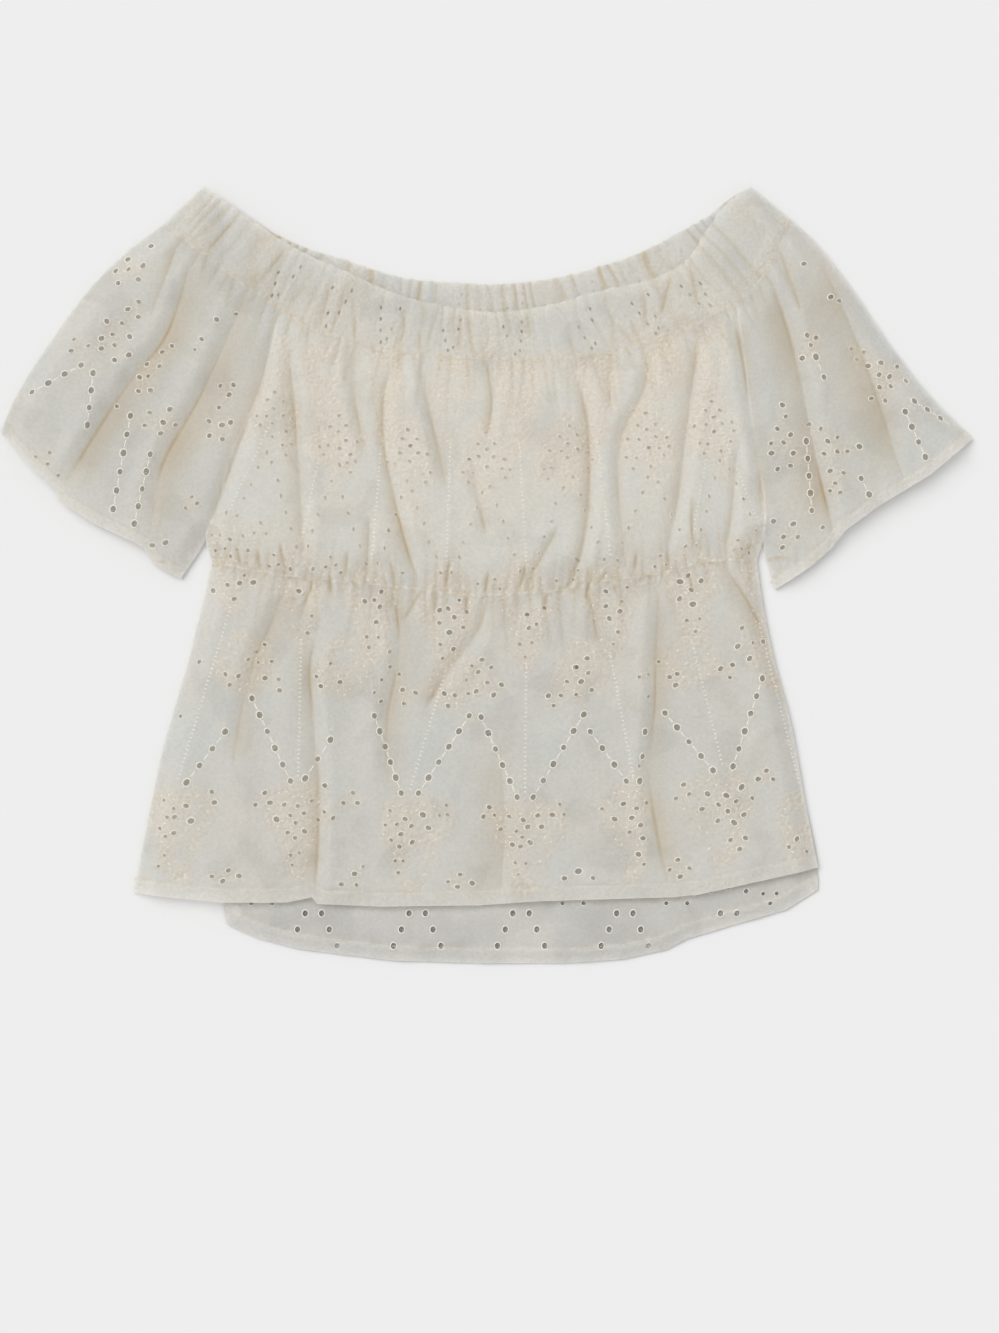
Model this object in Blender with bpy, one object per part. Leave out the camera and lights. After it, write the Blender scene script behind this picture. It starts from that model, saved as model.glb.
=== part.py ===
"""An off-shoulder blouse of eyelet cotton, laid flat with its back on the surface.

The neck is a gathered casing, front and back. Two wide sleeves, a bodice and a peplum
hang from it, and the bodice and the peplum are gathered into one waist seam. Every
panel is a wall of cloth. The back panels rest on z = 0 and the front panels lie on
them, in the folds and gathers that the cloth takes when it is laid out by hand.

X runs to the right of the garment as it is seen from above, Y towards its neck and
Z away from the surface. Tables are in millimetres and the solids in metres.
"""

from collections import namedtuple
from math import cos, pi, sin, tau

import bpy
import numpy as np
from mathutils import Vector
from mathutils.geometry import delaunay_2d_cdt

MM = 0.001

# Walls and clearances.
CLOTH = 1.5               # wall of one layer of cloth
CASING_FRONT = 2.0        # two layers and the elastic between them, without the ribs
CASING_BACK = 1.8
SEAM_GAP = 0.34           # between the panels that a seam joins
LAYER_GAP = 0.3           # between the front and the back at a side fold
FRONT_BASE = 3.2          # underside of the front where it lies on the back
SIDE_RISE = 16.0          # distance over which the front lifts off its side folds
BACK_RELIEF_START = 15.0  # the back stays thin this near to a side fold
BACK_RELIEF_FULL = 36.0

# Gathers.
CASING_RIBS = 46
CASING_FRONT_RIB = 1.6
CASING_BACK_RIB = 0.9
GATHER_PITCH = 13.6
GATHER_RISE = 2.6
GATHER_REACH = 17.0       # the gathers fade over this distance from their seam

# How far the cloth stands off between its folds.
PUFF_BODICE = 6.0
PUFF_PEPLUM = 4.0
PUFF_SLEEVE = 5.0
BACK_RELIEF = 1.2

# Eyelets that are cut through, along the arms of the V motifs.
EYELET_LONG = 5.2
EYELET_SHORT = 4.4
EYELET_SIDES = 6
POINT_CLEARANCE = 3.4     # a grid point keeps this far from an eyelet's centre line

# Outlines, as x, y. The neck runs from the left shoulder fold to the right one.
NECK_FRONT_TOP = [
    (-213, 292), (-177, 267), (-143, 245), (-106, 228), (-65, 210), (-27, 201), (10, 197),
    (48, 203), (85, 213), (123, 222), (148, 234), (165, 258), (180, 278), (198, 292)]
NECK_FRONT_SEAM = [
    (-243, 263), (-208, 236), (-176, 213), (-131, 184), (-80, 169), (-35, 164), (10, 161),
    (55, 162), (102, 168), (142, 180), (177, 197), (202, 216), (217, 240), (228, 267)]
NECK_BACK_TOP = [
    (-213, 292), (-177, 268), (-143, 249), (-106, 237), (-65, 224), (-27, 220), (10, 219),
    (48, 223), (85, 232), (123, 246), (147, 259), (168, 271), (184, 284), (198, 292)]
NECK_BACK_SEAM = [
    (-243, 263), (-204, 234), (-166, 212), (-121, 196), (-72, 186), (-31, 182), (10, 181),
    (51, 184), (94, 192), (136, 205), (164, 217), (193, 234), (212, 251), (228, 267)]
WAIST = [
    (-206, 9), (-153, 0), (-97, -6), (-49, -11), (-15, -15), (26, -14), (57, -11),
    (86, -5), (130, 1), (167, 10), (203, 11)]
ARMHOLE_LEFT = [(-211, 27), (-202, 51), (-191, 93), (-174, 130), (-163, 164)]
ARMHOLE_RIGHT = [(208, 27), (209, 53), (204, 86), (199, 120), (195, 154), (191, 183)]
WAIST_LEFT = (-206, 9)
WAIST_RIGHT = (203, 11)
PEPLUM_LEFT = [(-206, 9), (-211, -12), (-222, -57), (-245, -139), (-256, -192), (-265, -239)]
PEPLUM_RIGHT = [(203, 11), (207, -19), (216, -64), (228, -109), (239, -169), (249, -220)]
HEM_FRONT = [
    (-265, -239), (-240, -242), (-198, -246), (-150, -246), (-131, -242), (-127, -247),
    (-80, -249), (-5, -248), (38, -245), (138, -242), (159, -240), (196, -232), (249, -220)]
HEM_BACK = [
    (-265, -239), (-230, -240), (-199, -241), (-195, -263), (-173, -273), (-143, -281),
    (-105, -286), (-70, -290), (-5, -292), (57, -292), (103, -289), (135, -282),
    (150, -274), (183, -264), (225, -252), (249, -237)]
SLEEVE_LEFT_FOLD = [(-365, 107), (-355, 131), (-329, 173), (-296, 217), (-272, 241), (-243, 263)]
SLEEVE_LEFT_HEM = [
    (-365, 107), (-342, 81), (-322, 62), (-322, 56), (-294, 38), (-266, 25), (-257, 20),
    (-252, 10), (-241, 3), (-230, -3)]
SLEEVE_RIGHT_FOLD = [(365, 102), (333, 134), (303, 172), (273, 216), (246, 250), (228, 267)]
SLEEVE_RIGHT_HEM = [
    (217, -11), (228, -4), (243, 6), (258, 19), (269, 33), (295, 52), (333, 75), (365, 102)]

# Where the armhole seams meet the neck seam, as x.
ARMHOLE_TOP_FRONT = (-155, 188)
ARMHOLE_TOP_BACK = (-152, 184)

# Folds of the front. A valley runs along the route, its depth is a share of the puff,
# and a ridge stands beside it, on its left going from the first point when side is 1.
Fold = namedtuple("Fold", "route share width ridge side")
FRONT_FOLDS = [
    Fold([(-148, 176), (-143, 108), (-139, 56), (-138, 4)], 0.95, 6.5, 2.4, 1),
    Fold([(-99, 174), (-99, 131), (-90, 86)], 0.85, 5.5, 1.6, -1),
    Fold([(-88, 46), (-90, -6)], 0.8, 5.0, 1.2, 1),
    Fold([(-62, 168), (-73, 150), (-78, 111), (-70, 60), (-57, 11), (-49, -12)], 1.0, 6.0, 2.0, 1),
    Fold([(-50, 167), (-48, 146), (-39, 104), (-28, 58)], 0.9, 5.5, 1.8, -1),
    Fold([(-1, 164), (4, 131), (0, 100)], 0.75, 5.0, 1.4, 1),
    Fold([(-12, 84), (-6, 54), (0, 28)], 0.7, 5.0, 1.2, -1),
    Fold([(63, 165), (75, 118), (77, 66), (69, 11), (58, -12)], 1.0, 6.0, 2.2, 1),
    Fold([(126, 176), (116, 135), (101, 103), (98, 71), (102, 30), (105, -2)], 1.0, 6.0, 2.0, -1),
    Fold([(160, 190), (156, 153), (150, 108), (142, 47), (132, 0)], 1.0, 6.5, 2.4, 1),
    Fold([(189, 100), (186, 72), (182, 33), (176, 12)], 0.8, 5.0, 1.2, 1),
    Fold([(54, 36), (38, 8), (27, -14)], 0.85, 5.0, 1.4, -1),
    Fold([(95, 168), (92, 150), (94, 121)], 0.7, 4.5, 1.0, 1),
    Fold([(-158, 190), (-170, 140), (-186, 96), (-200, 58), (-210, 28)], 0.9, 6.5, 1.8, 1),
    Fold([(184, 200), (192, 160), (198, 118), (204, 84), (206, 36)], 0.9, 6.5, 1.8, -1),
    Fold([(-153, 0), (-158, -27), (-175, -65), (-185, -106), (-191, -145)], 1.0, 7.0, 2.4, -1),
    Fold([(-129, -3), (-135, -17), (-138, -36)], 0.8, 5.0, 1.2, 1),
    Fold([(-126, -40), (-132, -62), (-130, -109), (-126, -160), (-129, -246)], 1.0, 6.5, 2.6, 1),
    Fold([(-70, -7), (-66, -58), (-75, -110), (-73, -172)], 0.95, 7.0, 1.8, -1),
    Fold([(-49, -12), (-63, -36)], 0.8, 5.0, 1.2, 1),
    Fold([(1, -17), (-5, -39), (-29, -73), (-48, -104)], 0.9, 6.5, 1.8, 1),
    Fold([(75, -9), (79, -27), (84, -54)], 0.8, 5.5, 1.4, -1),
    Fold([(130, 0), (127, -49), (126, -98), (122, -148), (130, -207), (138, -242)], 1.0, 7.0, 2.6, -1),
    Fold([(175, 10), (195, -18), (211, -52), (226, -106)], 0.9, 6.5, 1.8, 1),
    Fold([(10, -130), (14, -184), (10, -247)], 0.6, 9.0, 0.8, 1),
    Fold([(-222, 238), (-229, 211), (-242, 177), (-267, 146), (-295, 104), (-321, 60)], 1.0, 8.0, 3.4, -1),
    Fold([(-232, 250), (-243, 217), (-253, 192)], 0.8, 6.0, 1.2, 1),
    Fold([(-178, 216), (-216, 132), (-245, 78), (-252, 36), (-256, 18)], 1.0, 8.0, 2.6, -1),
    Fold([(211, 228), (225, 187), (234, 154), (244, 101), (262, 24)], 1.0, 8.0, 2.8, 1),
    Fold([(219, 246), (227, 222), (236, 196)], 0.8, 6.0, 1.2, -1),
    Fold([(250, 236), (276, 180), (300, 112), (314, 66)], 0.6, 10.0, 1.0, 1),
]

# Low folds pressed into the back, as x where they meet the waist, x at the far end.
BackFold = namedtuple("BackFold", "x_waist x_end width")
BACK_BODICE_FOLDS = [
    BackFold(-168, -128, 9), BackFold(-120, -92, 8), BackFold(-72, -60, 9),
    BackFold(-24, -22, 8), BackFold(30, 26, 9), BackFold(76, 66, 8),
    BackFold(118, 104, 9), BackFold(164, 146, 8)]
BACK_PEPLUM_FOLDS = [
    BackFold(-160, -196, 11), BackFold(-104, -132, 10), BackFold(-46, -62, 12),
    BackFold(12, 4, 10), BackFold(66, 78, 11), BackFold(122, 146, 10), BackFold(168, 206, 10)]

# Chains of cut eyelets, from the foot of an arm to its end.
Chain = namedtuple("Chain", "panel x0 y0 x1 y1 count")
FRONT_CHAINS = [
    Chain("peplum_front", -225, -156, -196, -118, 4),
    Chain("peplum_front", -147, -155, -176, -93, 6),
    Chain("peplum_front", -136, -153, -117, -124, 3),
    Chain("peplum_front", -64, -164, -84, -106, 6),
    Chain("peplum_front", -51, -164, -13, -106, 6),
    Chain("peplum_front", 23, -167, -4, -107, 6),
    Chain("peplum_front", 35, -167, 73, -105, 6),
    Chain("peplum_front", 105, -155, 78, -118, 4),
    Chain("peplum_front", 115, -155, 119, -118, 3),
    Chain("peplum_front", 170, -147, 134, -104, 5),
    Chain("peplum_front", 185, -144, 207, -78, 6),
    Chain("sleeve_left_front", -304, 157, -341, 137, 4),
    Chain("sleeve_left_front", -295, 151, -299, 112, 4),
    Chain("sleeve_left_front", -267, 119, -280, 49, 6),
    Chain("sleeve_left_front", -252, 90, -264, 38, 5),
    Chain("sleeve_right_front", 321, 130, 351, 111, 4),
    Chain("sleeve_right_front", 314, 122, 329, 88, 4),
    Chain("sleeve_right_front", 247, 163, 253, 148, 2),
    Chain("sleeve_right_front", 281, 72, 287, 60, 2),
    Chain("sleeve_right_front", 240, 100, 244, 48, 5),
]

# The motifs of the back stand upside down, in even columns.
BACK_COLUMN_PITCH = 78.0
BACK_APEX_ROWS = [(-84, 6), (-249, 2)]    # y of the apex, eyelets in each arm
BACK_COLUMNS = (-208, -130, -52, 26, 104, 182)
ARM_FOOT = 6.3
ARM_REACH = 36.0
ARM_RISE = 60.0
ARM_EYELETS = 6
BACK_SLEEVE_APEXES = [(-306, 148, -38), (-262, 106, -20), (304, 146, 38), (258, 102, 20)]

# Finishes: the cloth as it looks from outside, for each piece.
CREAM = (0.72, 0.68, 0.58)
CREAM_DEEP = (0.68, 0.62, 0.51)
CLOTH_ROUGHNESS = 0.9

CURVE_STEPS = 400
SIDE_STATIONS = 13
BODICE_PUFF_RANGE = 26.0


class Curve:
    """A line through plan points, smooth unless it is a hem with corners."""

    def __init__(self, points, smooth=True):
        knots = np.array(points, dtype=float)
        spans = np.hypot(*np.diff(knots, axis=0).T)
        at = np.concatenate([[0.0], np.cumsum(spans)])
        dense = np.linspace(0.0, at[-1], CURVE_STEPS)
        dense = np.unique(np.concatenate([dense, at]))
        if smooth:
            self.xy = self.hermite(knots, at, dense)
        else:
            self.xy = np.column_stack([np.interp(dense, at, knots[:, k]) for k in (0, 1)])
        steps = np.hypot(*np.diff(self.xy, axis=0).T)
        self.at = np.concatenate([[0.0], np.cumsum(steps)])
        self.length = self.at[-1]

    @property
    def ends(self):
        return self.xy[0], self.xy[-1]

    @staticmethod
    def hermite(knots, at, dense):
        slopes = np.gradient(knots, at, axis=0)
        k = np.clip(np.searchsorted(at, dense, side="right") - 1, 0, len(at) - 2)
        span = (at[k + 1] - at[k])[:, None]
        t = ((dense - at[k])[:, None]) / span
        start = (2 * t**3 - 3 * t**2 + 1) * knots[k] + (t**3 - 2 * t**2 + t) * span * slopes[k]
        finish = (3 * t**2 - 2 * t**3) * knots[k + 1] + (t**3 - t**2) * span * slopes[k + 1]
        return start + finish

    def __call__(self, share):
        """The plan points at these shares, 0 to 1, of the length."""
        at = np.asarray(share) * self.length
        return np.stack([np.interp(at, self.at, self.xy[:, k]) for k in (0, 1)], axis=-1)

    def between(self, x_from, x_to):
        """The stretch of a line that runs in +X, from one x to another."""
        inside = (self.xy[:, 0] > x_from) & (self.xy[:, 0] < x_to)
        ends = [(x, np.interp(x, self.xy[:, 0], self.xy[:, 1])) for x in (x_from, x_to)]
        return Curve([ends[0], *self.xy[inside][::4].tolist(), ends[1]], smooth=False)


class Panel:
    """A panel's plan: four edges, and the ruled surface of u across and v up.

    The sides are lists of stations, which the two panels of a side seam share.
    """

    def __init__(self, bottom, top, left, right):
        self.bottom, self.top = bottom, top
        self.left_stations, self.right_stations = np.array(left), np.array(right)
        self.left = Curve(left, smooth=False)
        self.right = Curve(right, smooth=False)

    def plan(self, u, v):
        u = np.asarray(u, dtype=float)[..., None]
        v = np.asarray(v, dtype=float)[..., None]
        low, high = self.bottom(u[..., 0]), self.top(u[..., 0])
        west, east = self.left(v[..., 0]), self.right(v[..., 0])
        c00, c10 = self.bottom(0.0), self.bottom(1.0)
        c01, c11 = self.top(0.0), self.top(1.0)
        corners = (1 - u) * (1 - v) * c00 + u * (1 - v) * c10 + (1 - u) * v * c01 + u * v * c11
        return (1 - v) * low + v * high + (1 - u) * west + u * east - corners


def smoothstep(t):
    t = np.clip(t, 0.0, 1.0)
    return t * t * (3 - 2 * t)


def route_distance(route, x, y):
    """Distance to a route, the side it is on (1 is left) and the share of the length."""
    points = np.array(route, dtype=float)
    spans = np.hypot(*np.diff(points, axis=0).T)
    starts = np.concatenate([[0.0], np.cumsum(spans)])
    best = np.full(np.shape(x), np.inf)
    side = np.ones(np.shape(x))
    share = np.zeros(np.shape(x))
    for k, span in enumerate(spans):
        (ax, ay), (bx, by) = points[k], points[k + 1]
        ex, ey = (bx - ax) / span, (by - ay) / span
        along = np.clip((x - ax) * ex + (y - ay) * ey, 0.0, span)
        away = np.hypot(x - ax - along * ex, y - ay - along * ey)
        nearer = away < best
        best = np.where(nearer, away, best)
        side = np.where(nearer, np.sign(ex * (y - ay) - ey * (x - ax) + 1e-9), side)
        share = np.where(nearer, (starts[k] + along) / starts[-1], share)
    return best, side, share


def joined(*parts):
    points = []
    for part in parts:
        points += [p for p in part if not points or p != points[-1]]
    return points


neck_front_seam = Curve(NECK_FRONT_SEAM)
neck_back_seam = Curve(NECK_BACK_SEAM)
waist = Curve(WAIST)
SIDE_FOLDS = [
    joined(PEPLUM_LEFT[::-1], [ARMHOLE_LEFT[0], SLEEVE_LEFT_HEM[-1]]),
    joined(SLEEVE_LEFT_FOLD, NECK_FRONT_TOP[:1]),
    joined(PEPLUM_RIGHT[::-1], [ARMHOLE_RIGHT[0], SLEEVE_RIGHT_HEM[0]]),
    joined(SLEEVE_RIGHT_FOLD, NECK_FRONT_TOP[-1:]),
]


def side_distance(x, y):
    return np.min([route_distance(route, x, y)[0] for route in SIDE_FOLDS], axis=0)


def seam_y(seam, x):
    return np.interp(x, seam.xy[:, 0], seam.xy[:, 1])


def gathers(x, y):
    """Small ribs that fan out from the waist seam and from the neck seam."""
    from_waist = np.abs(y - seam_y(waist, x))
    from_neck = np.abs(seam_y(neck_front_seam, x) - y)
    wave = 0.5 + 0.5 * np.cos(tau * x / GATHER_PITCH + 0.9 * np.sin(x / 23.0))
    near = np.exp(-((from_waist / GATHER_REACH) ** 1.5))
    near = np.maximum(near, 0.8 * np.exp(-((from_neck / GATHER_REACH) ** 1.5)))
    return GATHER_RISE * wave * near


def puff(x, y):
    """How far the front stands off between its folds: most in the bodice."""
    above_waist = smoothstep((y - seam_y(waist, x)) / BODICE_PUFF_RANGE)
    in_sleeve = smoothstep((np.abs(x) - 206.0) / 20.0)
    body = PUFF_PEPLUM + (PUFF_BODICE - PUFF_PEPLUM) * above_waist
    height = body + (PUFF_SLEEVE - body) * in_sleeve * above_waist
    pinch = 1 - 0.62 * np.exp(-(((y - seam_y(waist, x)) / 15.0) ** 2))
    neck = 1 - 0.55 * np.exp(-(((y - seam_y(neck_front_seam, x)) / 16.0) ** 2))
    return height * pinch * neck


def front_underside(x, y):
    """Height of the front cloth's underside over the surface."""
    kept = np.ones(np.shape(x))
    ridges = np.zeros(np.shape(x))
    for fold in FRONT_FOLDS:
        away, side, share = route_distance(fold.route, x, y)
        taper = np.clip(np.minimum(share, 1 - share) / 0.12, 0.35, 1.0)
        kept *= 1 - fold.share * taper * np.exp(-((away / fold.width) ** 2))
        crest = np.exp(-(((away - 1.7 * fold.width) / (0.85 * fold.width)) ** 2))
        ridges = np.maximum(ridges, fold.ridge * taper * crest * (side == fold.side))
    lift = smoothstep(side_distance(x, y) / SIDE_RISE)
    low = CLOTH + LAYER_GAP
    return low + lift * (FRONT_BASE - low + puff(x, y) * kept + ridges + gathers(x, y))


def back_relief(x, y):
    """Low folds of the back, which rests on the surface with a flat underside."""
    relief = np.zeros(np.shape(x))
    for folds, y_end in ((BACK_BODICE_FOLDS, 180.0), (BACK_PEPLUM_FOLDS, -280.0)):
        for fold in folds:
            t = (y - seam_y(waist, x)) / y_end
            centre = fold.x_waist + (fold.x_end - fold.x_waist) * t
            shape = np.exp(-(((x - centre) / fold.width) ** 2))
            relief = np.maximum(relief, shape * (t > -0.02) * (1 - 0.5 * np.clip(t, 0, 1)))
    spread = BACK_RELIEF_FULL - BACK_RELIEF_START
    return BACK_RELIEF * relief * smoothstep((side_distance(x, y) - BACK_RELIEF_START) / spread)


def back_underside(x, y):
    return np.zeros(np.shape(x))


def back_wall(x, y, u):
    return CLOTH + back_relief(x, y)


def front_wall(x, y, u):
    return np.full(np.shape(x), CLOTH)


def casing_ribs(u, rise):
    """Ribs across a casing, uneven as gathers on elastic are."""
    wave = 0.5 + 0.5 * np.cos(tau * CASING_RIBS * u)
    uneven = 0.75 + 0.25 * np.sin(31.0 * u + 1.0)
    return rise * wave * uneven


def casing_front_underside(x, y):
    low = CLOTH + LAYER_GAP
    lift = smoothstep(side_distance(x, y) / SIDE_RISE)
    return low + lift * (FRONT_BASE - low + 0.5)


def casing_front_wall(x, y, u):
    lift = smoothstep(side_distance(x, y) / SIDE_RISE)
    return CLOTH + lift * (CASING_FRONT - CLOTH + casing_ribs(u, CASING_FRONT_RIB))


def casing_back_wall(x, y, u):
    lift = smoothstep((side_distance(x, y) - BACK_RELIEF_START) / SIDE_RISE)
    return CLOTH + lift * (CASING_BACK - CLOTH + casing_ribs(u, CASING_BACK_RIB))


def chain_eyelets(chain):
    """Centres and directions of the eyelets in one arm of a motif."""
    turn = np.arctan2(chain.y1 - chain.y0, chain.x1 - chain.x0)
    shares = np.linspace(0.0, 1.0, chain.count)
    return [(chain.x0 + (chain.x1 - chain.x0) * t, chain.y0 + (chain.y1 - chain.y0) * t, turn)
            for t in shares]


def back_chains():
    """The arms of the back's upside-down motifs, as chains."""
    chains = []
    for column in BACK_COLUMNS:
        for apex, count in BACK_APEX_ROWS:
            part = (count - 1) / (ARM_EYELETS - 1)
            for side in (-1, 1):
                foot = column + side * ARM_FOOT
                end = foot + side * (ARM_REACH - ARM_FOOT) * part
                chains.append(Chain("peplum_back", foot, apex, end, apex - ARM_RISE * part, count))
    for x, y, lean in BACK_SLEEVE_APEXES:
        panel = "sleeve_left_back" if x < 0 else "sleeve_right_back"
        for side in (-1, 1):
            turn = (lean + side * 30.0) * pi / 180
            reach = 46.0
            x0, y0 = x + ARM_FOOT * sin(turn), y - ARM_FOOT * cos(turn)
            chains.append(Chain(panel, x0, y0, x + reach * sin(turn), y - reach * cos(turn), 4))
    return chains


def eyelet_loop(x, y, turn):
    """The rim of one oval eyelet, its long axis along the arm."""
    rim = []
    for k in range(EYELET_SIDES):
        a = tau * k / EYELET_SIDES
        p, q = EYELET_LONG / 2 * cos(a), EYELET_SHORT / 2 * sin(a)
        rim.append((x + p * cos(turn) - q * sin(turn), y + p * sin(turn) + q * cos(turn)))
    return rim


def inset(loop, gap):
    """A closed counter-clockwise plan loop moved inwards by a gap."""
    before = np.roll(loop, 1, axis=0)
    after = np.roll(loop, -1, axis=0)
    arrive = loop - before
    leave = after - loop
    arrive /= np.hypot(*arrive.T)[:, None]
    leave /= np.hypot(*leave.T)[:, None]
    normal = np.column_stack([-(arrive + leave)[:, 1], (arrive + leave)[:, 0]])
    normal /= np.maximum(np.hypot(*normal.T), 1e-6)[:, None]
    spread = np.maximum(-normal[:, 0] * arrive[:, 1] + normal[:, 1] * arrive[:, 0], 0.5)
    return loop + normal * (gap / spread)[:, None]


def inside(loop, points):
    """Whether each plan point lies inside a loop."""
    x, y = points[:, 0], points[:, 1]
    hit = np.zeros(len(points), dtype=bool)
    for (ax, ay), (bx, by) in zip(loop, np.roll(loop, -1, axis=0)):
        crosses = (ay > y) != (by > y)
        rise = by - ay if by != ay else 1e-12
        hit ^= crosses & (x < (bx - ax) * (y - ay) / rise + ax)
    return hit


def loop_distance(loop, points):
    closed = np.vstack([loop, loop[:1]])
    return route_distance(closed, points[:, 0], points[:, 1])[0]


def cloth_wall(name, panel, rows, underside, wall, colour, eyelets=()):
    """A panel's closed wall: its plan meshed round its eyelets, then raised.

    rows lists the share v of the panel's depth and the number of columns there.
    """
    columns = {v: np.linspace(0.0, 1.0, count + 1) for v, count in rows}
    low, high = rows[0][0], rows[-1][0]
    outline = np.vstack([
        panel.bottom(columns[low]), panel.right_stations[1:-1],
        panel.top(columns[high][::-1]), panel.left_stations[-2:0:-1]])
    outline = inset(outline, SEAM_GAP / 2)
    outline_u = np.concatenate([
        columns[low], np.ones(len(panel.right_stations) - 2),
        columns[high][::-1], np.zeros(len(panel.left_stations) - 2)])
    grid = np.vstack([panel.plan(columns[v][1:-1], np.full(len(columns[v]) - 2, v))
                      for v, count in rows[1:-1]])
    grid_u = np.concatenate([columns[v][1:-1] for v, count in rows[1:-1]])
    clear = inside(outline, grid) & (loop_distance(outline, grid) > POINT_CLEARANCE / 2)
    loops = []
    for x, y, turn in eyelets:
        clear &= np.hypot(grid[:, 0] - x, grid[:, 1] - y) > (EYELET_LONG + POINT_CLEARANCE) / 2
        loops.append(eyelet_loop(x, y, turn))

    points = [tuple(p) for p in outline]
    edges = [(k, (k + 1) % len(points)) for k in range(len(points))]
    rim_of = {}
    for number, loop in enumerate(loops):
        first = len(points)
        points += loop
        rim = range(first, first + len(loop))
        edges += [(k, first + (k + 1 - first) % len(loop)) for k in rim]
        rim_of.update({k: number for k in rim})
    across = np.concatenate([outline_u, np.zeros(len(points) - len(outline_u)), grid_u[clear]])
    points += [tuple(p) for p in grid[clear]]

    inside_only = 1
    flat, _, faces, origins, _, _ = delaunay_2d_cdt(
        [Vector(p) for p in points], edges, [], inside_only, 1e-5)
    source = [ids[0] if ids else -1 for ids in origins]
    kept = []
    for face in faces:
        rims = {rim_of.get(source[k], -1) for k in face}
        if len(rims) == 1 and rims != {-1}:
            continue
        kept.append(tuple(face))

    plan = np.array([tuple(p) for p in flat])
    bottom = underside(plan[:, 0], plan[:, 1])
    top = bottom + wall(plan[:, 0], plan[:, 1], across[source])
    count = len(plan)
    verts = [(x * MM, y * MM, z * MM) for (x, y), z in zip(plan, bottom)]
    verts += [(x * MM, y * MM, z * MM) for (x, y), z in zip(plan, top)]
    solid = []
    rim_edges = {}
    for a, b, c in kept:
        solid.append((a + count, b + count, c + count))
        solid.append((c, b, a))
        for edge in ((a, b), (b, c), (c, a)):
            if edge[::-1] in rim_edges:
                del rim_edges[edge[::-1]]
            else:
                rim_edges[edge] = True
    for a, b in rim_edges:
        solid.append((a, b, b + count))
        solid.append((a, b + count, a + count))
    return add_object(name, verts, solid, colour)


def cloth_material(name, colour):
    material = bpy.data.materials.new(name)
    material.use_nodes = True
    shader = material.node_tree.nodes["Principled BSDF"]
    shader.inputs["Base Color"].default_value = (*colour, 1.0)
    shader.inputs["Roughness"].default_value = CLOTH_ROUGHNESS
    shader.inputs["Metallic"].default_value = 0.0
    material.diffuse_color = (*colour, 1.0)
    return material


def add_object(name, verts, faces, colour):
    mesh = bpy.data.meshes.new(name)
    mesh.from_pydata(verts, [], faces)
    mesh.validate()
    mesh.materials.append(cloth_material(f"{name}_cloth", colour))
    obj = bpy.data.objects.new(name, mesh)
    bpy.context.scene.collection.objects.link(obj)
    return obj


def stations(points, count=SIDE_STATIONS):
    """Evenly spaced points of the smooth line through the given ones."""
    return Curve(points)(np.linspace(0.0, 1.0, count))


def armhole(points, seam, x_top):
    """The armhole seam from the underarm up to the neck seam."""
    return stations([*points, (x_top, seam_y(seam, x_top))])


def casing_panel(seam, top_points):
    top = Curve(top_points)
    (west_low, east_low), (west_high, east_high) = seam.ends, top.ends
    middle = 0.5
    return Panel(seam, top,
                 [west_low, west_low + middle * (west_high - west_low), west_high],
                 [east_low, east_low + middle * (east_high - east_low), east_high])


def bodice_panel(seam, tops):
    left = armhole(ARMHOLE_LEFT, seam, tops[0])
    right = armhole(ARMHOLE_RIGHT, seam, tops[1])
    return Panel(waist, seam.between(*tops), [WAIST_LEFT, *left], [WAIST_RIGHT, *right])


def peplum_panel(hem, left, right):
    return Panel(Curve(hem, smooth=False), waist, stations(left), stations(right))


def sleeve_left_panel(seam, tops):
    top = seam.between(seam.xy[0, 0], tops[0])
    inner = [SLEEVE_LEFT_HEM[-1], *armhole(ARMHOLE_LEFT, seam, tops[0])]
    return Panel(Curve(SLEEVE_LEFT_HEM, smooth=False), top, stations(SLEEVE_LEFT_FOLD), inner)


def sleeve_right_panel(seam, tops):
    top = seam.between(tops[1], seam.xy[-1, 0])
    inner = [SLEEVE_RIGHT_HEM[0], *armhole(ARMHOLE_RIGHT, seam, tops[1])]
    return Panel(Curve(SLEEVE_RIGHT_HEM, smooth=False), top, inner, stations(SLEEVE_RIGHT_FOLD))


def eyelets_of(panel, chains):
    return [eyelet for chain in chains if chain.panel == panel for eyelet in chain_eyelets(chain)]


def clear_scene():
    for obj in list(bpy.data.objects):
        bpy.data.objects.remove(obj, do_unlink=True)


CASING_ROWS = [(0.0, 92), (0.5, 92), (1.0, 92)]
BODICE_FRONT_ROWS = [
    (0.0, 60), (0.06, 60), (0.14, 60), (0.28, 44), (0.45, 44), (0.62, 44), (0.77, 52),
    (0.88, 60), (0.95, 60), (1.0, 60)]
PEPLUM_FRONT_ROWS = [
    (0.0, 42), (0.12, 38), (0.26, 38), (0.42, 38), (0.57, 38), (0.7, 42), (0.81, 48),
    (0.9, 60), (0.96, 60), (1.0, 60)]
SLEEVE_FRONT_ROWS = [
    (0.0, 16), (0.14, 16), (0.3, 16), (0.46, 16), (0.62, 16), (0.78, 16), (0.9, 16), (1.0, 16)]
BODICE_BACK_ROWS = [(0.0, 30), (0.25, 30), (0.5, 30), (0.75, 30), (1.0, 30)]
PEPLUM_BACK_ROWS = [(0.0, 34), (0.2, 30), (0.4, 30), (0.6, 30), (0.8, 30), (1.0, 30)]
SLEEVE_BACK_ROWS = [(0.0, 10), (0.3, 8), (0.65, 8), (1.0, 8)]


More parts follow.
